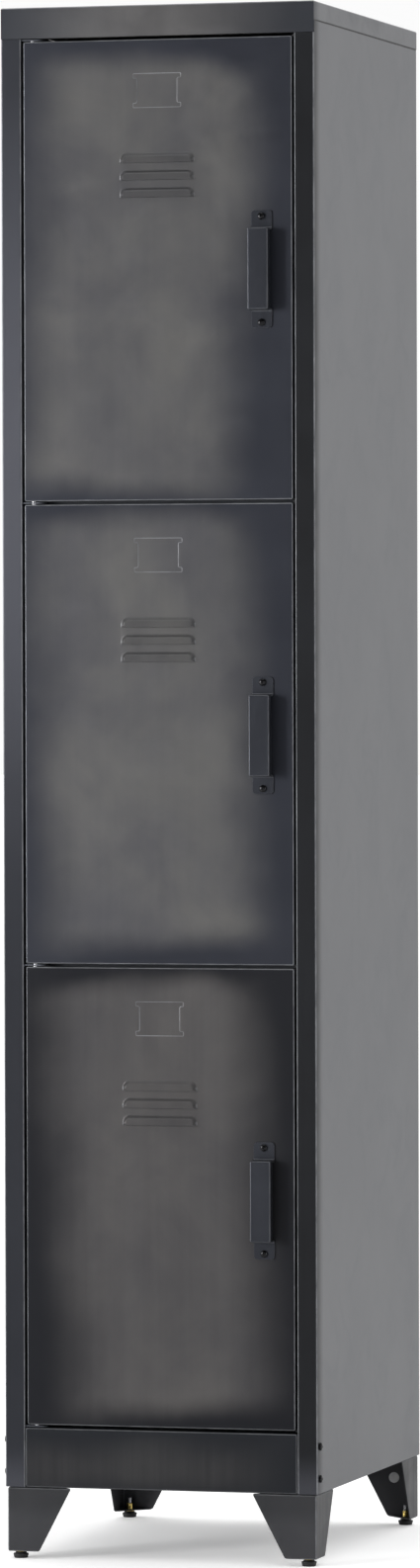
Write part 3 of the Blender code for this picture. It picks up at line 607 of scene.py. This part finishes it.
def makeEvenLacquer(name, dark, light, metallic=0.5, rough=(0.40, 0.48), wearAndHighlightAmount=0.5,
                    paintedShadeFrom=None):
    # plain sprayed lacquer with slow clouds and lightened bends (worn paint and painted
    # highlight), and painted shade above the given height
    material, tree, shader, place = startMaterial(name, metallic, specular=0.4)
    clouds, smudges, wear = weather(tree, place, 12.0, 18.0, wearAndHighlightAmount)
    colour = blendColour(tree, clouds["Clouds"], dark, light)
    if paintedShadeFrom:
        paintedShadeShare = ramp(tree, axesOf(tree, place)["Z"], paintedShadeFrom - 0.012, paintedShadeFrom + 0.012, 0, 0.4)
        colour = blendColour(tree, paintedShadeShare, colour, shade(24, 25, 27))
    colour = blendColour(tree, wear, colour, bareAndHighlightTone)
    tree.links.new(colour, shader.inputs["Base Color"])
    addGloss(tree, shader, ramp(tree, clouds["Wipes"], 0, 1, *rough), smudges, 0.06)
    addBump(tree, shader, clouds["Tooth"], 0.12, 0.0001)
    return material


def makeMetal(name, dark, light, rough=(0.22, 0.36)):
    # turned or plated hardware, faintly stained
    material, tree, shader, place = startMaterial(name, 1.0)
    stain = noise(tree, place, 320, 4, 0.6, 0.4)
    tree.links.new(blendColour(tree, ramp(tree, stain, 0.3, 0.7), dark, light),
                   shader.inputs["Base Color"])
    tree.links.new(ramp(tree, noise(tree, place, 900, 3), 0.3, 0.7, *rough),
                   shader.inputs["Roughness"])
    addBump(tree, shader, noise(tree, place, 2600, 2), 0.10, 0.00005)
    return material


def makePlastic(name, dark, light):
    # moulded plastic with a fine spark-eroded texture
    material, tree, shader, place = startMaterial(name, 0.0)
    cloudy = ramp(tree, noise(tree, place, 140, 4), 0.3, 0.7)
    tree.links.new(blendColour(tree, cloudy, dark, light), shader.inputs["Base Color"])
    tree.links.new(ramp(tree, noise(tree, place, 500, 3), 0.3, 0.7, 0.42, 0.60),
                   shader.inputs["Roughness"])
    addBump(tree, shader, noise(tree, place, 3200, 2), 0.35, 0.00006)
    return material


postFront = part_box("side_panel_right")[0].y
# painted light: the posts are lit and shaded copies of one lacquer, the left one lighter and the
# right one darker, as the left softbox's reflection fades to the right
sideMaterials = {
    "left": makeSideLacquer("side lacquer, left", postFront, {
        "postDark": shade(28, 30, 36), "postLight": shade(34, 36, 42), "rubbed": 0.75}),
    "right": makeSideLacquer("side lacquer, right", postFront, {
        "postDark": shade(14, 15, 18), "postLight": shade(19, 21, 25), "rubbed": 0}),
}
innerMaterial = makeEvenLacquer("inner lacquer", shade(56, 58, 63), shade(68, 70, 75))
# painted shade: the legs darken towards their tops, under the cabinet
legMaterial = makeEvenLacquer("leg lacquer", shade(48, 49, 52), shade(58, 58, 61),
                              paintedShadeFrom=0.056)
handleMaterial = makeEvenLacquer("handle lacquer", shade(38, 40, 46), shade(47, 49, 55),
                                 0.7, (0.32, 0.40), 0.2)
# cut edges are lighter than the lacquer, partly as bare steel and partly as painted highlight
edgeMaterial = makeEvenLacquer("cut edge, worn and highlighted", shade(104, 106, 110), shade(140, 142, 146),
                               0.8, (0.28, 0.36), 0.0)
plateMaterial = makeEvenLacquer("hinge plate", shade(60, 62, 68), shade(84, 86, 92), 0.8)
screwMaterial = makeMetal("black screw steel", shade(30, 30, 31), shade(46, 46, 48),
                          (0.16, 0.26))
zincMaterial = makeMetal("yellow zinc", shade(196, 170, 92), shade(222, 200, 128))
steelMaterial = makeMetal("bright steel", shade(150, 151, 154), shade(190, 190, 192))
plasticMaterial = makePlastic("black plastic", shade(16, 16, 17), shade(26, 26, 28))
stickerMaterial = makePlastic("grey sticker", shade(176, 176, 178), shade(192, 192, 192))
print("finishes made")


# ---- body

post = {
    "width": 0.024,
    "stopDepth": 0.022,
    "stopWidth": 0.008,
    "backFlange": 0.015,
    "slotHeight": 0.0021,  # opening in the post's return for a hinge plate
    "lidGap": 0.0003,
}


def makeSidePanel(name, side):
    # side sheet with the post, the door stop and the back flange folded from it
    node = "side_panel_" + name
    low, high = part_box(node)
    half, front, back = max(abs(low.x), abs(high.x)), low.y, high.y
    mouth = half - post["width"]
    postTop = lidLow.z - post["lidGap"]
    plan = [(mouth - post["stopWidth"], front + post["stopDepth"]),
            (mouth, front + post["stopDepth"]), (mouth, front), (half, front),
            (half, back), (half - post["backFlange"], back)]
    bm = bmesh.new()
    row = [bm.verts.new((side * x, y, low.z)) for x, y in plan]
    edges = [bm.edges.new(pair) for pair in zip(row, row[1:])]
    raised = bmesh.ops.extrude_edge_only(bm, edges=edges)["geom"]
    bmesh.ops.translate(bm, vec=(0, 0, high.z - low.z), verts=vertsOf(raised))
    bm.normal_update()
    if max(bm.faces, key=lambda face: face.calc_area()).normal.x * side < 0:
        bmesh.ops.reverse_faces(bm, faces=bm.faces)
    foldEdges(bm, sharpEdges(bm))

    splitAt(bm, (0, 0, postTop), (0, 0, 1))
    spare = []
    for face in bm.faces:
        middle = face.calc_center_median()
        inPost = abs(middle.x) < half - post["width"] / 2 and middle.y < back - sheet["fold"]
        if middle.z > postTop and (inPost or middle.y < front + sheet["fold"]):
            spare.append(face)
    bmesh.ops.delete(bm, geom=spare, context="FACES")

    if name == "left":
        for number in range(1, 5):
            plateLow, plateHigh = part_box("hinge_plate_%d" % number)
            height = (plateLow.z + plateHigh.z) / 2
            openSlot(bm, mouth, height, post["slotHeight"] / 2)
    return finishPiece("side_panel_sheet_" + name, bm, "cabinet", [node],
                       [sideMaterials[name], innerMaterial, edgeMaterial],
                       sheet["thickness"])


def openSlot(bm, mouth, height, half):
    for level in (height - half, height + half):
        splitAt(bm, (0, 0, level), (0, 0, 1))
    spare = [face for face in bm.faces
             if abs(abs(face.calc_center_median().x) - mouth) < 1e-6
             and abs(face.calc_center_median().z - height) < half]
    bmesh.ops.delete(bm, geom=spare, context="FACES")


for name, side in sides.items():
    makeSidePanel(name, side)

lid = {"return": 0.020}


def makeLid():
    # a tray with its lower edge folded in and its front deepened into the rail
    low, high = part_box("lid")
    bm = boxBetween((low.x, low.y, seam["height"]), high)
    bottom = facesTowards(bm, (0, 0, -1))
    bmesh.ops.inset_region(bm, faces=bottom, thickness=lid["return"], use_even_offset=True)
    bmesh.ops.delete(bm, geom=bottom, context="FACES_ONLY")
    strip = min(facesTowards(bm, (0, 0, -1)), key=lambda face: face.calc_center_median().y)
    lowered = bmesh.ops.extrude_face_region(bm, geom=[strip])["geom"]
    bmesh.ops.translate(bm, vec=(0, 0, low.z - seam["height"]), verts=vertsOf(lowered))
    bmesh.ops.delete(bm, geom=[strip], context="FACES_ONLY")
    bm.normal_update()
    flush = [edge for edge in bm.edges if edge.is_manifold
             and edge.calc_face_angle() < 0.01 and edge.calc_length() > lid["return"]]
    bmesh.ops.dissolve_edges(bm, edges=flush, use_verts=False)
    foldEdges(bm, [edge for edge in sharpEdges(bm)
                   if all(vert.co.z > high.z - 1e-6 for vert in edge.verts)])
    return finishPiece("lid_tray", bm, "cabinet", ["lid"], [lidMaterial, edgeMaterial],
                       sheet["thickness"])


makeLid()

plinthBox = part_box("plinth")
finishPiece("plinth_front", openBox(*plinthBox, (0, 1, 0)), "cabinet", ["plinth"],
            [plinthMaterial], sheet["thickness"])
for node in ("floor_panel", "shelf_lower", "shelf_upper"):
    finishPiece(node + "_sheet", openBox(*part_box(node), (0, 0, -1)), "cabinet", [node],
                [innerMaterial], sheet["thickness"])


bolt = {"hole": 0.0033, "head": 0.0040, "radius": 0.0030, "thread": 0.0005, "pitch": 0.0010}


def boltHole(end, name):
    return circleLoop(axisOf("leg_bolt_%s_%s" % (end, name)), bolt["hole"])


def makeBasePanel():
    low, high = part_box("base_panel")
    bm = openBox(low, high, (0, 0, 1))
    under = facesTowards(bm, (0, 0, -1))[0]
    cutLoops(bm, under, [[(point.x, point.y, low.z) for point in boltHole(*corner)]
                         for corner in corners])
    return finishPiece("base_panel_sheet", bm, "cabinet", ["base_panel"], [innerMaterial],
                       sheet["thickness"])


makeBasePanel()
finishPiece("back_panel_sheet", boxBetween(*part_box("back_panel")), "cabinet",
            ["back_panel"], [sideMaterials["right"]])
print("body made")


# ---- doors

door = {"lip": 0.012, "pinHole": 0.0031}
louvre = {
    "reach": 0.0045, "width": 0.090, "height": 0.012, "pitch": 0.020, "drop": 0.1303,
    "corner": 0.009, "shoulder": 0.0050, "steps": 7, "count": 3, "wear": 0.05,
    "lip": 0.0006, "topShare": 0.6,
}
# the pocket's walls take the full lightening of a bend, as painted highlight lines
pocket = {
    "width": 0.058, "height": 0.040, "field": 0.049, "bar": 0.006, "press": 0.0006,
    "drop": 0.0593, "wall": 0.0008, "steps": 4, "wear": 1.0,
}


def louvreLoop(top):
    # straight lower edge, which is lanced open, and two rounded shoulders above it
    half, bottom = louvre["width"] / 2, top - louvre["height"]
    box = [(half, bottom), (half, top), (-half, top), (-half, bottom)]
    rounded = roundedLoop(box, louvre["corner"], 8)
    shoulders = rounded[9:27]
    inner = half - louvre["shoulder"]
    ramp = [inner + louvre["shoulder"] * step / 5 for step in range(6)]
    return [Vector((x, bottom)) for x in [-x for x in reversed(ramp)] + ramp] + shoulders


def openLouvre(bm, rings, bottom, face):
    # lets the hood slope out to its lanced edge, which stands clear of the door
    layer = bm.faces.layers.float["fold"]
    half, top, corner = louvre["width"] / 2, bottom + louvre["height"], louvre["corner"]
    for vert in {vert for part in rings for vert in part.verts}:
        across = max(0, abs(vert.co.x) - half + corner)
        up = max(0, vert.co.z - top + corner)
        inside = (corner - Vector((across, up)).length) / louvre["shoulder"]
        slope = louvre["topShare"] + (1 - louvre["topShare"]) * (top - vert.co.z) / (top - bottom)
        vert.co.y = face - louvre["reach"] * ease(min(1, max(0, inside))) * slope
    # painted highlight: the lanced lip and the lower ends of the hood are lit lighter, like worn
    # bends
    for part in rings:
        middle = part.calc_center_median()
        if middle.z < bottom + louvre["lip"]:
            part[layer] = 1
        elif middle.z < bottom + 0.005 and abs(middle.x) > half - 0.0022:
            part[layer] = 0.5


def pocketLoop(middle):
    wide, narrow = pocket["width"] / 2, pocket["field"] / 2
    tall = pocket["height"] / 2
    inner = tall - pocket["bar"]
    right = [(wide, -tall), (wide, -inner), (narrow, -inner),
             (narrow, inner), (wide, inner), (wide, tall)]
    left = [(-x, z) for x, z in reversed(right)]
    return [point + Vector((0, middle)) for point in roundedLoop(right + left, 0.0015, 4)]


def makeDoor(name):
    node = "door_" + name
    low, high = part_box(node)
    face = low.y + louvre["reach"]
    bm = openBox((low.x, face, low.z), high, (0, 1, 0), door["lip"])

    outlines = [louvreLoop(high.z - louvre["drop"] - number * louvre["pitch"])
                for number in range(louvre["count"])]
    outlines.append(pocketLoop(high.z - pocket["drop"]))
    outward = Vector((0, -1, 0))
    front = max(facesTowards(bm, outward), key=lambda item: item.calc_area())
    drawn = cutLoops(bm, front, [[(point.x, face, point.y) for point in outline]
                                 for outline in outlines])
    pressed = [closeLoop(bm, verts, outward) for verts, _ in drawn]
    for (verts, edges), hood in zip(drawn[:-1], pressed[:-1]):
        bottom = min(vert.co.z for vert in verts)
        lanced = [edge for edge in edges
                  if all(vert.co.z < bottom + 1e-6 for vert in edge.verts)]
        bmesh.ops.split_edges(bm, edges=lanced)
        rings = pressFace(bm, hood, outward, louvre["shoulder"], louvre["reach"],
                          louvre["steps"], louvre["wear"])
        openLouvre(bm, rings, bottom, face)
    pressFace(bm, pressed[-1], -outward, pocket["wall"], pocket["press"], pocket["steps"],
              pocket["wear"])

    for up in (-1, 1):
        end = max(facesTowards(bm, (0, 0, up)), key=lambda item: item.calc_area())
        level = high.z if up > 0 else low.z
        hole = [(point.x, point.y, level)
                for point in circleLoop(axisOf("hinge_pin_2"), door["pinHole"])]
        cutLoops(bm, end, [hole])
    return finishPiece("door_sheet_" + name, bm, "door_%s_leaf" % name, [node],
                       [doorMaterials[name], innerMaterial, edgeMaterial],
                       sheet["thickness"])


for name in doorNames:
    makeDoor(name)
print("doors made")


# ---- handles and screws

handle = {
    "thickness": 0.0015, "tab": 0.0205, "flange": 0.0105, "fold": 0.0020,
    "tabCorner": 0.0040,
}


def makeHandle(name):
    # a pull bent from strip: two screw tabs and a raised grip with folded-back long edges
    low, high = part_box("handle_" + name)
    rear = high.y - handle["thickness"]
    bm = boxBetween((low.x, low.y, low.z + handle["tab"]), (high.x, rear, high.z - handle["tab"]))
    bmesh.ops.delete(bm, geom=facesTowards(bm, (0, 1, 0)), context="FACES_ONLY")
    flange = low.y + handle["flange"]
    splitAt(bm, (0, flange, 0), (0, 1, 0))
    walls = facesTowards(bm, (1, 0, 0)) + facesTowards(bm, (-1, 0, 0))
    bmesh.ops.delete(bm, geom=[face for face in walls if face.calc_center_median().y > flange],
                     context="FACES")
    middle = (low.z + high.z) / 2
    for up in (-1, 1):
        root = [edge for edge in bm.edges if edge.is_boundary
                and all(vert.co.y > rear - 1e-6 for vert in edge.verts)
                and all((vert.co.z - middle) * up > 0 for vert in edge.verts)]
        tips = vertsOf(bmesh.ops.extrude_edge_only(bm, edges=root)["geom"])
        bmesh.ops.translate(bm, vec=(0, 0, up * handle["tab"]), verts=tips)
        bmesh.ops.bevel(bm, geom=tips, offset=handle["tabCorner"], segments=6, profile=0.5,
                        affect="VERTICES", material=-1)
    foldEdges(bm, sharpEdges(bm), handle["fold"])
    return finishPiece("handle_pull_" + name, bm, "door_%s_leaf" % name, ["handle_" + name],
                       [handleMaterial, edgeMaterial], handle["thickness"], 0.0003)


def crossRecess(size, depth):
    # the tapering cross that a driver fits in, as a cutter that stands on z = 0
    bm = bmesh.new()
    for turn in (0, pi / 2):
        arm = boxBetween((-size, -size * 0.20, -depth), (size, size * 0.20, depth))
        for vert in arm.verts:
            if vert.co.z < 0:
                vert.co.x *= 0.45
        bmesh.ops.rotate(arm, matrix=Matrix.Rotation(turn, 3, "Z"), verts=arm.verts)
        addTo(bm, arm)
    return bm


def carve(bm, cutter):
    # takes the cutter out of the solid and returns the result as a new bmesh
    solid, tool = makeObject("solid", bm), makeObject("tool", cutter)
    removal = solid.modifiers.new("recess", "BOOLEAN")
    removal.operation = "DIFFERENCE"
    removal.solver = "EXACT"
    removal.use_self = True
    removal.object = tool
    bpy.context.view_layer.update()
    mesh = bpy.data.meshes.new_from_object(
        solid.evaluated_get(bpy.context.evaluated_depsgraph_get()))
    carved = bmesh.new()
    carved.from_mesh(mesh)
    for spent in (solid, tool):
        bpy.data.objects.remove(spent)
    bpy.data.meshes.remove(mesh)
    return carved


def panHead(radius, height):
    # a domed head that stands on z = 0, with its edge rounded and its face recessed
    edge = height * 0.42
    dome = [(radius * sin(step / 8 * pi / 2), edge + (height - edge) * cos(step / 8 * pi / 2))
            for step in range(9)]
    head = turned([(0, height)] + dome[1:] + [(radius, edge * 0.35), (radius * 0.95, 0), (0, 0)])
    recess = crossRecess(radius * 0.55, height * 0.55)
    bmesh.ops.translate(recess, vec=(0, 0, height), verts=recess.verts)
    return carve(head, recess)


screws = {
    "handle": {"head": 0.0041, "headHeight": 0.0026, "shank": 0.0020},
    "side": {"head": 0.0046, "headHeight": 0.0030, "shank": 0.0023},
}


def makeScrew(node, body, direction, screw):
    low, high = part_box(node)
    headHeight, shank = screw["headHeight"], screw["shank"]
    direction = Vector(direction)
    centre = (low + high) / 2
    tip = [low, high][direction.dot(high - low) > 0]
    length = abs((high - low).dot(direction))
    seat = centre + direction * ((tip - centre).dot(direction) - headHeight)
    bm = panHead(screw["head"], headHeight)
    rod = threadedRod(shank, shank * 0.16, shank * 0.36, -(length - headHeight), 0.0001)
    addTo(bm, rod)
    placePiece(bm, seat, direction)
    return finishPiece(node.replace("screw", "panhead"), bm, body, [node], [screwMaterial],
                       0, 0.00005)


for name in doorNames:
    makeHandle(name)
    for end in ("lower", "upper"):
        makeScrew("handle_%s_screw_%s" % (name, end), "door_%s_leaf" % name, (0, -1, 0),
                  screws["handle"])
for name, side in sides.items():
    for end in ("lower", "upper"):
        makeScrew("side_screw_%s_%s" % (name, end), "cabinet", (side, 0, 0), screws["side"])
print("handles and screws made")


# ---- hinges and catches

pinEnd = (0.0006, 0.0002)  # how far a pin's end is rounded off

for number in range(1, 5):
    low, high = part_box("hinge_pin_%d" % number)
    radius, half = (high.x - low.x) / 2, (high.z - low.z) / 2
    wide, slight = pinEnd
    upper = [(0, half), (radius - wide, half), (radius - slight, half - slight),
             (radius, half - wide)]
    pin = turned(upper + [(across, -up) for across, up in reversed(upper)])
    placePiece(pin, (low + high) / 2, (0, 0, 1))
    finishPiece("pivot_pin_%d" % number, pin, "cabinet", ["hinge_pin_%d" % number],
                [steelMaterial], 0, 0)
    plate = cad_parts["hinge_plate_%d" % number]
    plate.data.materials.clear()
    plate.data.materials.append(plateMaterial)

catch = {"corner": 0.0015, "pole": 0.0030, "recess": 0.0004}
for name in doorNames:
    node = "magnet_catch_" + name
    low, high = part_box(node)
    bm = boxBetween(low, high)
    foldEdges(bm, list(bm.edges), catch["corner"], 4)
    face = max(facesTowards(bm, (0, -1, 0)), key=lambda item: item.calc_area())
    bmesh.ops.inset_region(bm, faces=[face], thickness=catch["pole"])
    bmesh.ops.inset_region(bm, faces=[face], thickness=catch["recess"], depth=-catch["recess"])
    face.material_index = 1
    finishPiece("magnet_" + name, bm, "cabinet", [node], [plasticMaterial, plateMaterial],
                0, 0)
print("hinges and catches made")


# ---- legs and feet

leg = {"thickness": 0.0015, "footWidth": 0.0377, "insertHole": 0.0038}
pad = {"height": 0.0054, "radius": 0.0089, "sole": 0.0072, "edge": 0.0008, "boss": 0.0060}
stud = {"radius": 0.0025, "thread": 0.0004, "pitch": 0.0008}
sleeve = {"bore": 0.0026, "neck": 0.0035, "flange": 0.0008}


def makeLeg(end, name):
    # two tapering plates folded at the outer corner, with a three-cornered top and foot plate
    node = "leg_%s_%s" % (end, name)
    low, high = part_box(node)
    side, depthwise = sides[name], (-1 if end == "front" else 1)
    outer = Vector((high.x if side > 0 else low.x, high.y if depthwise > 0 else low.y, 0))
    width = high.x - low.x
    bm = boxBetween((0, 0, low.z), (width, width, high.z))
    inner = [vert for vert in bm.verts if min(vert.co.x, vert.co.y) > 0]
    bmesh.ops.delete(bm, geom=inner, context="VERTS")
    for level in (low.z, high.z):
        ends = [vert for vert in bm.verts if abs(vert.co.z - level) < 1e-6]
        bmesh.ops.contextual_create(bm, geom=ends)
    for vert in bm.verts:
        if vert.co.z < high.z - 1e-6:
            vert.co.x = min(vert.co.x, leg["footWidth"])
            vert.co.y = min(vert.co.y, leg["footWidth"])
    bmesh.ops.recalc_face_normals(bm, faces=bm.faces)
    if facesTowards(bm, (0, 0, 1))[0].calc_center_median().z < high.z - 1e-6:
        bmesh.ops.reverse_faces(bm, faces=bm.faces)
    foldEdges(bm, [edge for edge in bm.edges if edge.is_manifold])
    bmesh.ops.scale(bm, vec=(-side, -depthwise, 1), verts=bm.verts)
    bmesh.ops.translate(bm, vec=outer, verts=bm.verts)
    if side * depthwise < 0:
        bmesh.ops.reverse_faces(bm, faces=bm.faces)
    centre = axisOf("foot_pad_%s_%s" % (end, name))
    plate = facesTowards(bm, (0, 0, -1))[0]
    hole = [(point.x, point.y, low.z) for point in circleLoop(centre, leg["insertHole"])]
    cutLoops(bm, plate, [hole])
    top = max(facesTowards(bm, (0, 0, 1)), key=lambda item: item.calc_center_median().z)
    hole = [(point.x, point.y, high.z) for point in boltHole(end, name)]
    cutLoops(bm, top, [hole])
    return finishPiece("leg_sheet_%s_%s" % (end, name), bm, "cabinet", [node], [legMaterial],
                       leg["thickness"], 0.0003)


def makeFoot(end, name):
    label = "%s_%s" % (end, name)
    centre = Vector((*axisOf("foot_pad_" + label), 0))
    body = "foot_" + label
    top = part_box("foot_pad_" + label)[1].z
    # pad: flat sole, tapering side, dished top and the boss round the stud
    profile = [(0, 0), (pad["sole"], 0)]
    profile += arcProfile((pad["sole"], pad["edge"]), pad["edge"], -90, 0, 4)
    profile += [(pad["radius"], pad["height"] - 0.0010)]
    profile += arcProfile((pad["radius"] - 0.0008, pad["height"] - 0.0008), 0.0009, 0, 90, 4)
    profile += [(pad["boss"] + 0.0010, pad["height"] - 0.0004)]
    profile += arcProfile((pad["boss"], top - 0.0005), 0.0005, 0, 90, 3)
    profile += [(sleeve["bore"], top), (sleeve["bore"], top - 0.0008), (0, top - 0.0008)]
    bm = placePiece(turned(profile, 40), centre, (0, 0, 1))
    finishPiece("pad_" + label, bm, body, ["foot_pad_" + label], [plasticMaterial],
                0, 0)
    low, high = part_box("foot_stud_" + label)
    bm = placePiece(threadedRod(stud["radius"], stud["thread"], stud["pitch"], low.z, high.z),
                    centre, (0, 0, 1))
    finishPiece("stud_" + label, bm, body, ["foot_stud_" + label], [steelMaterial],
                0, 0)
    # threaded sleeve in the foot plate
    low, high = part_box("leg_insert_" + label)
    wide, bore, neck = (high.x - low.x) / 2, sleeve["bore"], sleeve["neck"]
    shoulder = low.z + sleeve["flange"]
    bm = turned([
        (bore, high.z), (neck - 0.0003, high.z), (neck, high.z - 0.0003), (neck, shoulder),
        (wide - 0.0002, shoulder), (wide, shoulder - 0.0002), (wide, low.z + 0.0002),
        (wide - 0.0002, low.z), (bore, low.z), (bore, high.z)])
    placePiece(bm, centre, (0, 0, 1))
    finishPiece("sleeve_" + label, bm, "cabinet", ["leg_insert_" + label], [zincMaterial],
                0, 0)
    # hexagon bolt under the leg's top plate
    low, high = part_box("leg_bolt_" + label)
    across, head = (high.x - low.x) / 2, bolt["head"]
    bm = bmesh.new()
    bmesh.ops.create_cone(bm, cap_ends=True, segments=6, radius1=across, radius2=across,
                          depth=head)
    bmesh.ops.translate(bm, vec=(0, 0, head / 2), verts=bm.verts)
    addTo(bm, threadedRod(bolt["radius"], bolt["thread"], bolt["pitch"], head - 0.0002,
                          high.z - low.z))
    placePiece(bm, (*axisOf("leg_bolt_" + label), low.z), (0, 0, 1))
    finishPiece("bolt_" + label, bm, "cabinet", ["leg_bolt_" + label], [screwMaterial],
                0, 0.0003)


sticker = {"radius": 0.0064, "thickness": 0.00016, "fromSide": 0.0294, "height": 0.0555}


def makeSticker():
    # plain round sticker on the inner face of the back right leg's rear plate
    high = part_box("leg_back_right")[1]
    middle = Vector((high.x - sticker["fromSide"], high.y - leg["thickness"],
                     sticker["height"]))
    radius, thickness = sticker["radius"], sticker["thickness"]
    bm = turned([(0, thickness), (radius - 0.0006, thickness), (radius, thickness / 2),
                 (radius, 0), (0, 0)], 48)
    placePiece(bm, middle, (0, -1, 0))
    finishPiece("sticker", bm, "cabinet", [], [stickerMaterial], 0, 0)


for end, name in corners:
    makeLeg(end, name)
    makeFoot(end, name)
makeSticker()
print("legs and feet made")


# ---- studio

camera = {
    "place": (2.531, -8.93615, 1.043),
    "turn": (89.102, 0.164, 15.829),  # degrees
    "lens": 180.34,
}
lights = {
    "left": {"place": (-4.1, -4.7, 1.5), "aim": (0, 0, 1.0), "size": (1.5, 2.0), "power": 230},
    "leftStrip": {"place": (-5.0, -2.2, 1.0), "aim": (0, 0, 1.0), "size": (0.35, 3.2),
                  "power": 60},
    "rightStrip": {"place": (3.2, -4.6, 1.0), "aim": (0, 0, 1.0), "size": (0.30, 3.2),
                   "power": 45},
    "right": {"place": (5.0, 1.5, 1.8), "aim": (0, 0, 0.9), "size": (2.5, 3.0), "power": 50},
    "top": {"place": (-0.6, -2.6, 4.6), "aim": (0, 0, 0.9), "size": (2.5, 1.5), "power": 20},
}
backdrop = {"dim": 0.08, "bright": 0.95, "ceiling": 0.60, "seen": 0.97, "floorLift": 0.30}


def makeCamera():
    data = bpy.data.cameras.new("camera")
    data.lens = camera["lens"]
    data.clip_end = 200
    obj = bpy.data.objects.new("camera", data)
    obj.location = camera["place"]
    obj.rotation_euler = [radians(angle) for angle in camera["turn"]]
    bpy.context.scene.collection.objects.link(obj)
    bpy.context.scene.camera = obj


def makeLight(name, look):
    data = bpy.data.lights.new(name, "AREA")
    data.shape = "RECTANGLE"
    data.size, data.size_y = look["size"]
    data.energy = look["power"]
    obj = bpy.data.objects.new(name, data)
    obj.location = look["place"]
    beam = Vector(look["aim"]) - Vector(look["place"])
    obj.rotation_euler = beam.to_track_quat("-Z", "Y").to_euler()
    obj.visible_camera = False
    bpy.context.scene.collection.objects.link(obj)


def makeWorld():
    # the object sees a room that is bright behind it and dim in front; the lens sees white
    world = bpy.data.worlds.new("studio")
    bpy.context.scene.world = world
    world.use_nodes = True
    tree = world.node_tree
    sky = tree.nodes["Background"]
    direction = addNode(tree, "ShaderNodeTexCoord").outputs["Generated"]
    axes = axesOf(tree, direction)
    room = ramp(tree, axes["Y"], -0.9, 0.7, backdrop["dim"], backdrop["bright"])
    room = maths(tree, "ADD", room, ramp(tree, axes["Z"], 0.30, 0.85, 0, backdrop["ceiling"]))
    seen = addNode(tree, "ShaderNodeLightPath").outputs["Is Camera Ray"]
    strength = addNode(tree, "ShaderNodeMix", {0: seen, 2: room, 3: backdrop["seen"]}).outputs[0]
    sky.inputs["Color"].default_value = (1, 1, 1, 1)
    tree.links.new(strength, sky.inputs["Strength"])


def makeFloor():
    material, tree, shader, place = startMaterial("pale floor", 0.0)
    tone = blendColour(tree, noise(tree, place, 0.8, 3), (0.86, 0.86, 0.86, 1),
                       (0.90, 0.90, 0.90, 1))
    tree.links.new(tone, shader.inputs["Base Color"])
    shader.inputs["Roughness"].default_value = 0.9
    # lifted towards the white of the backdrop, for the lens only
    seen = addNode(tree, "ShaderNodeLightPath").outputs["Is Camera Ray"]
    shader.inputs["Emission Color"].default_value = (1, 1, 1, 1)
    lift = maths(tree, "MULTIPLY", seen, backdrop["floorLift"])
    tree.links.new(lift, shader.inputs["Emission Strength"])
    bm = bmesh.new()
    bmesh.ops.create_grid(bm, x_segments=8, y_segments=8, size=60)
    makeObject("studio_floor", bm, [material])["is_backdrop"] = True


makeCamera()
for name, look in lights.items():
    makeLight(name, look)
makeWorld()
makeFloor()
bpy.context.scene.view_settings.view_transform = "Standard"
bpy.context.scene.view_settings.look = "None"
print("studio made")

low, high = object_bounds()
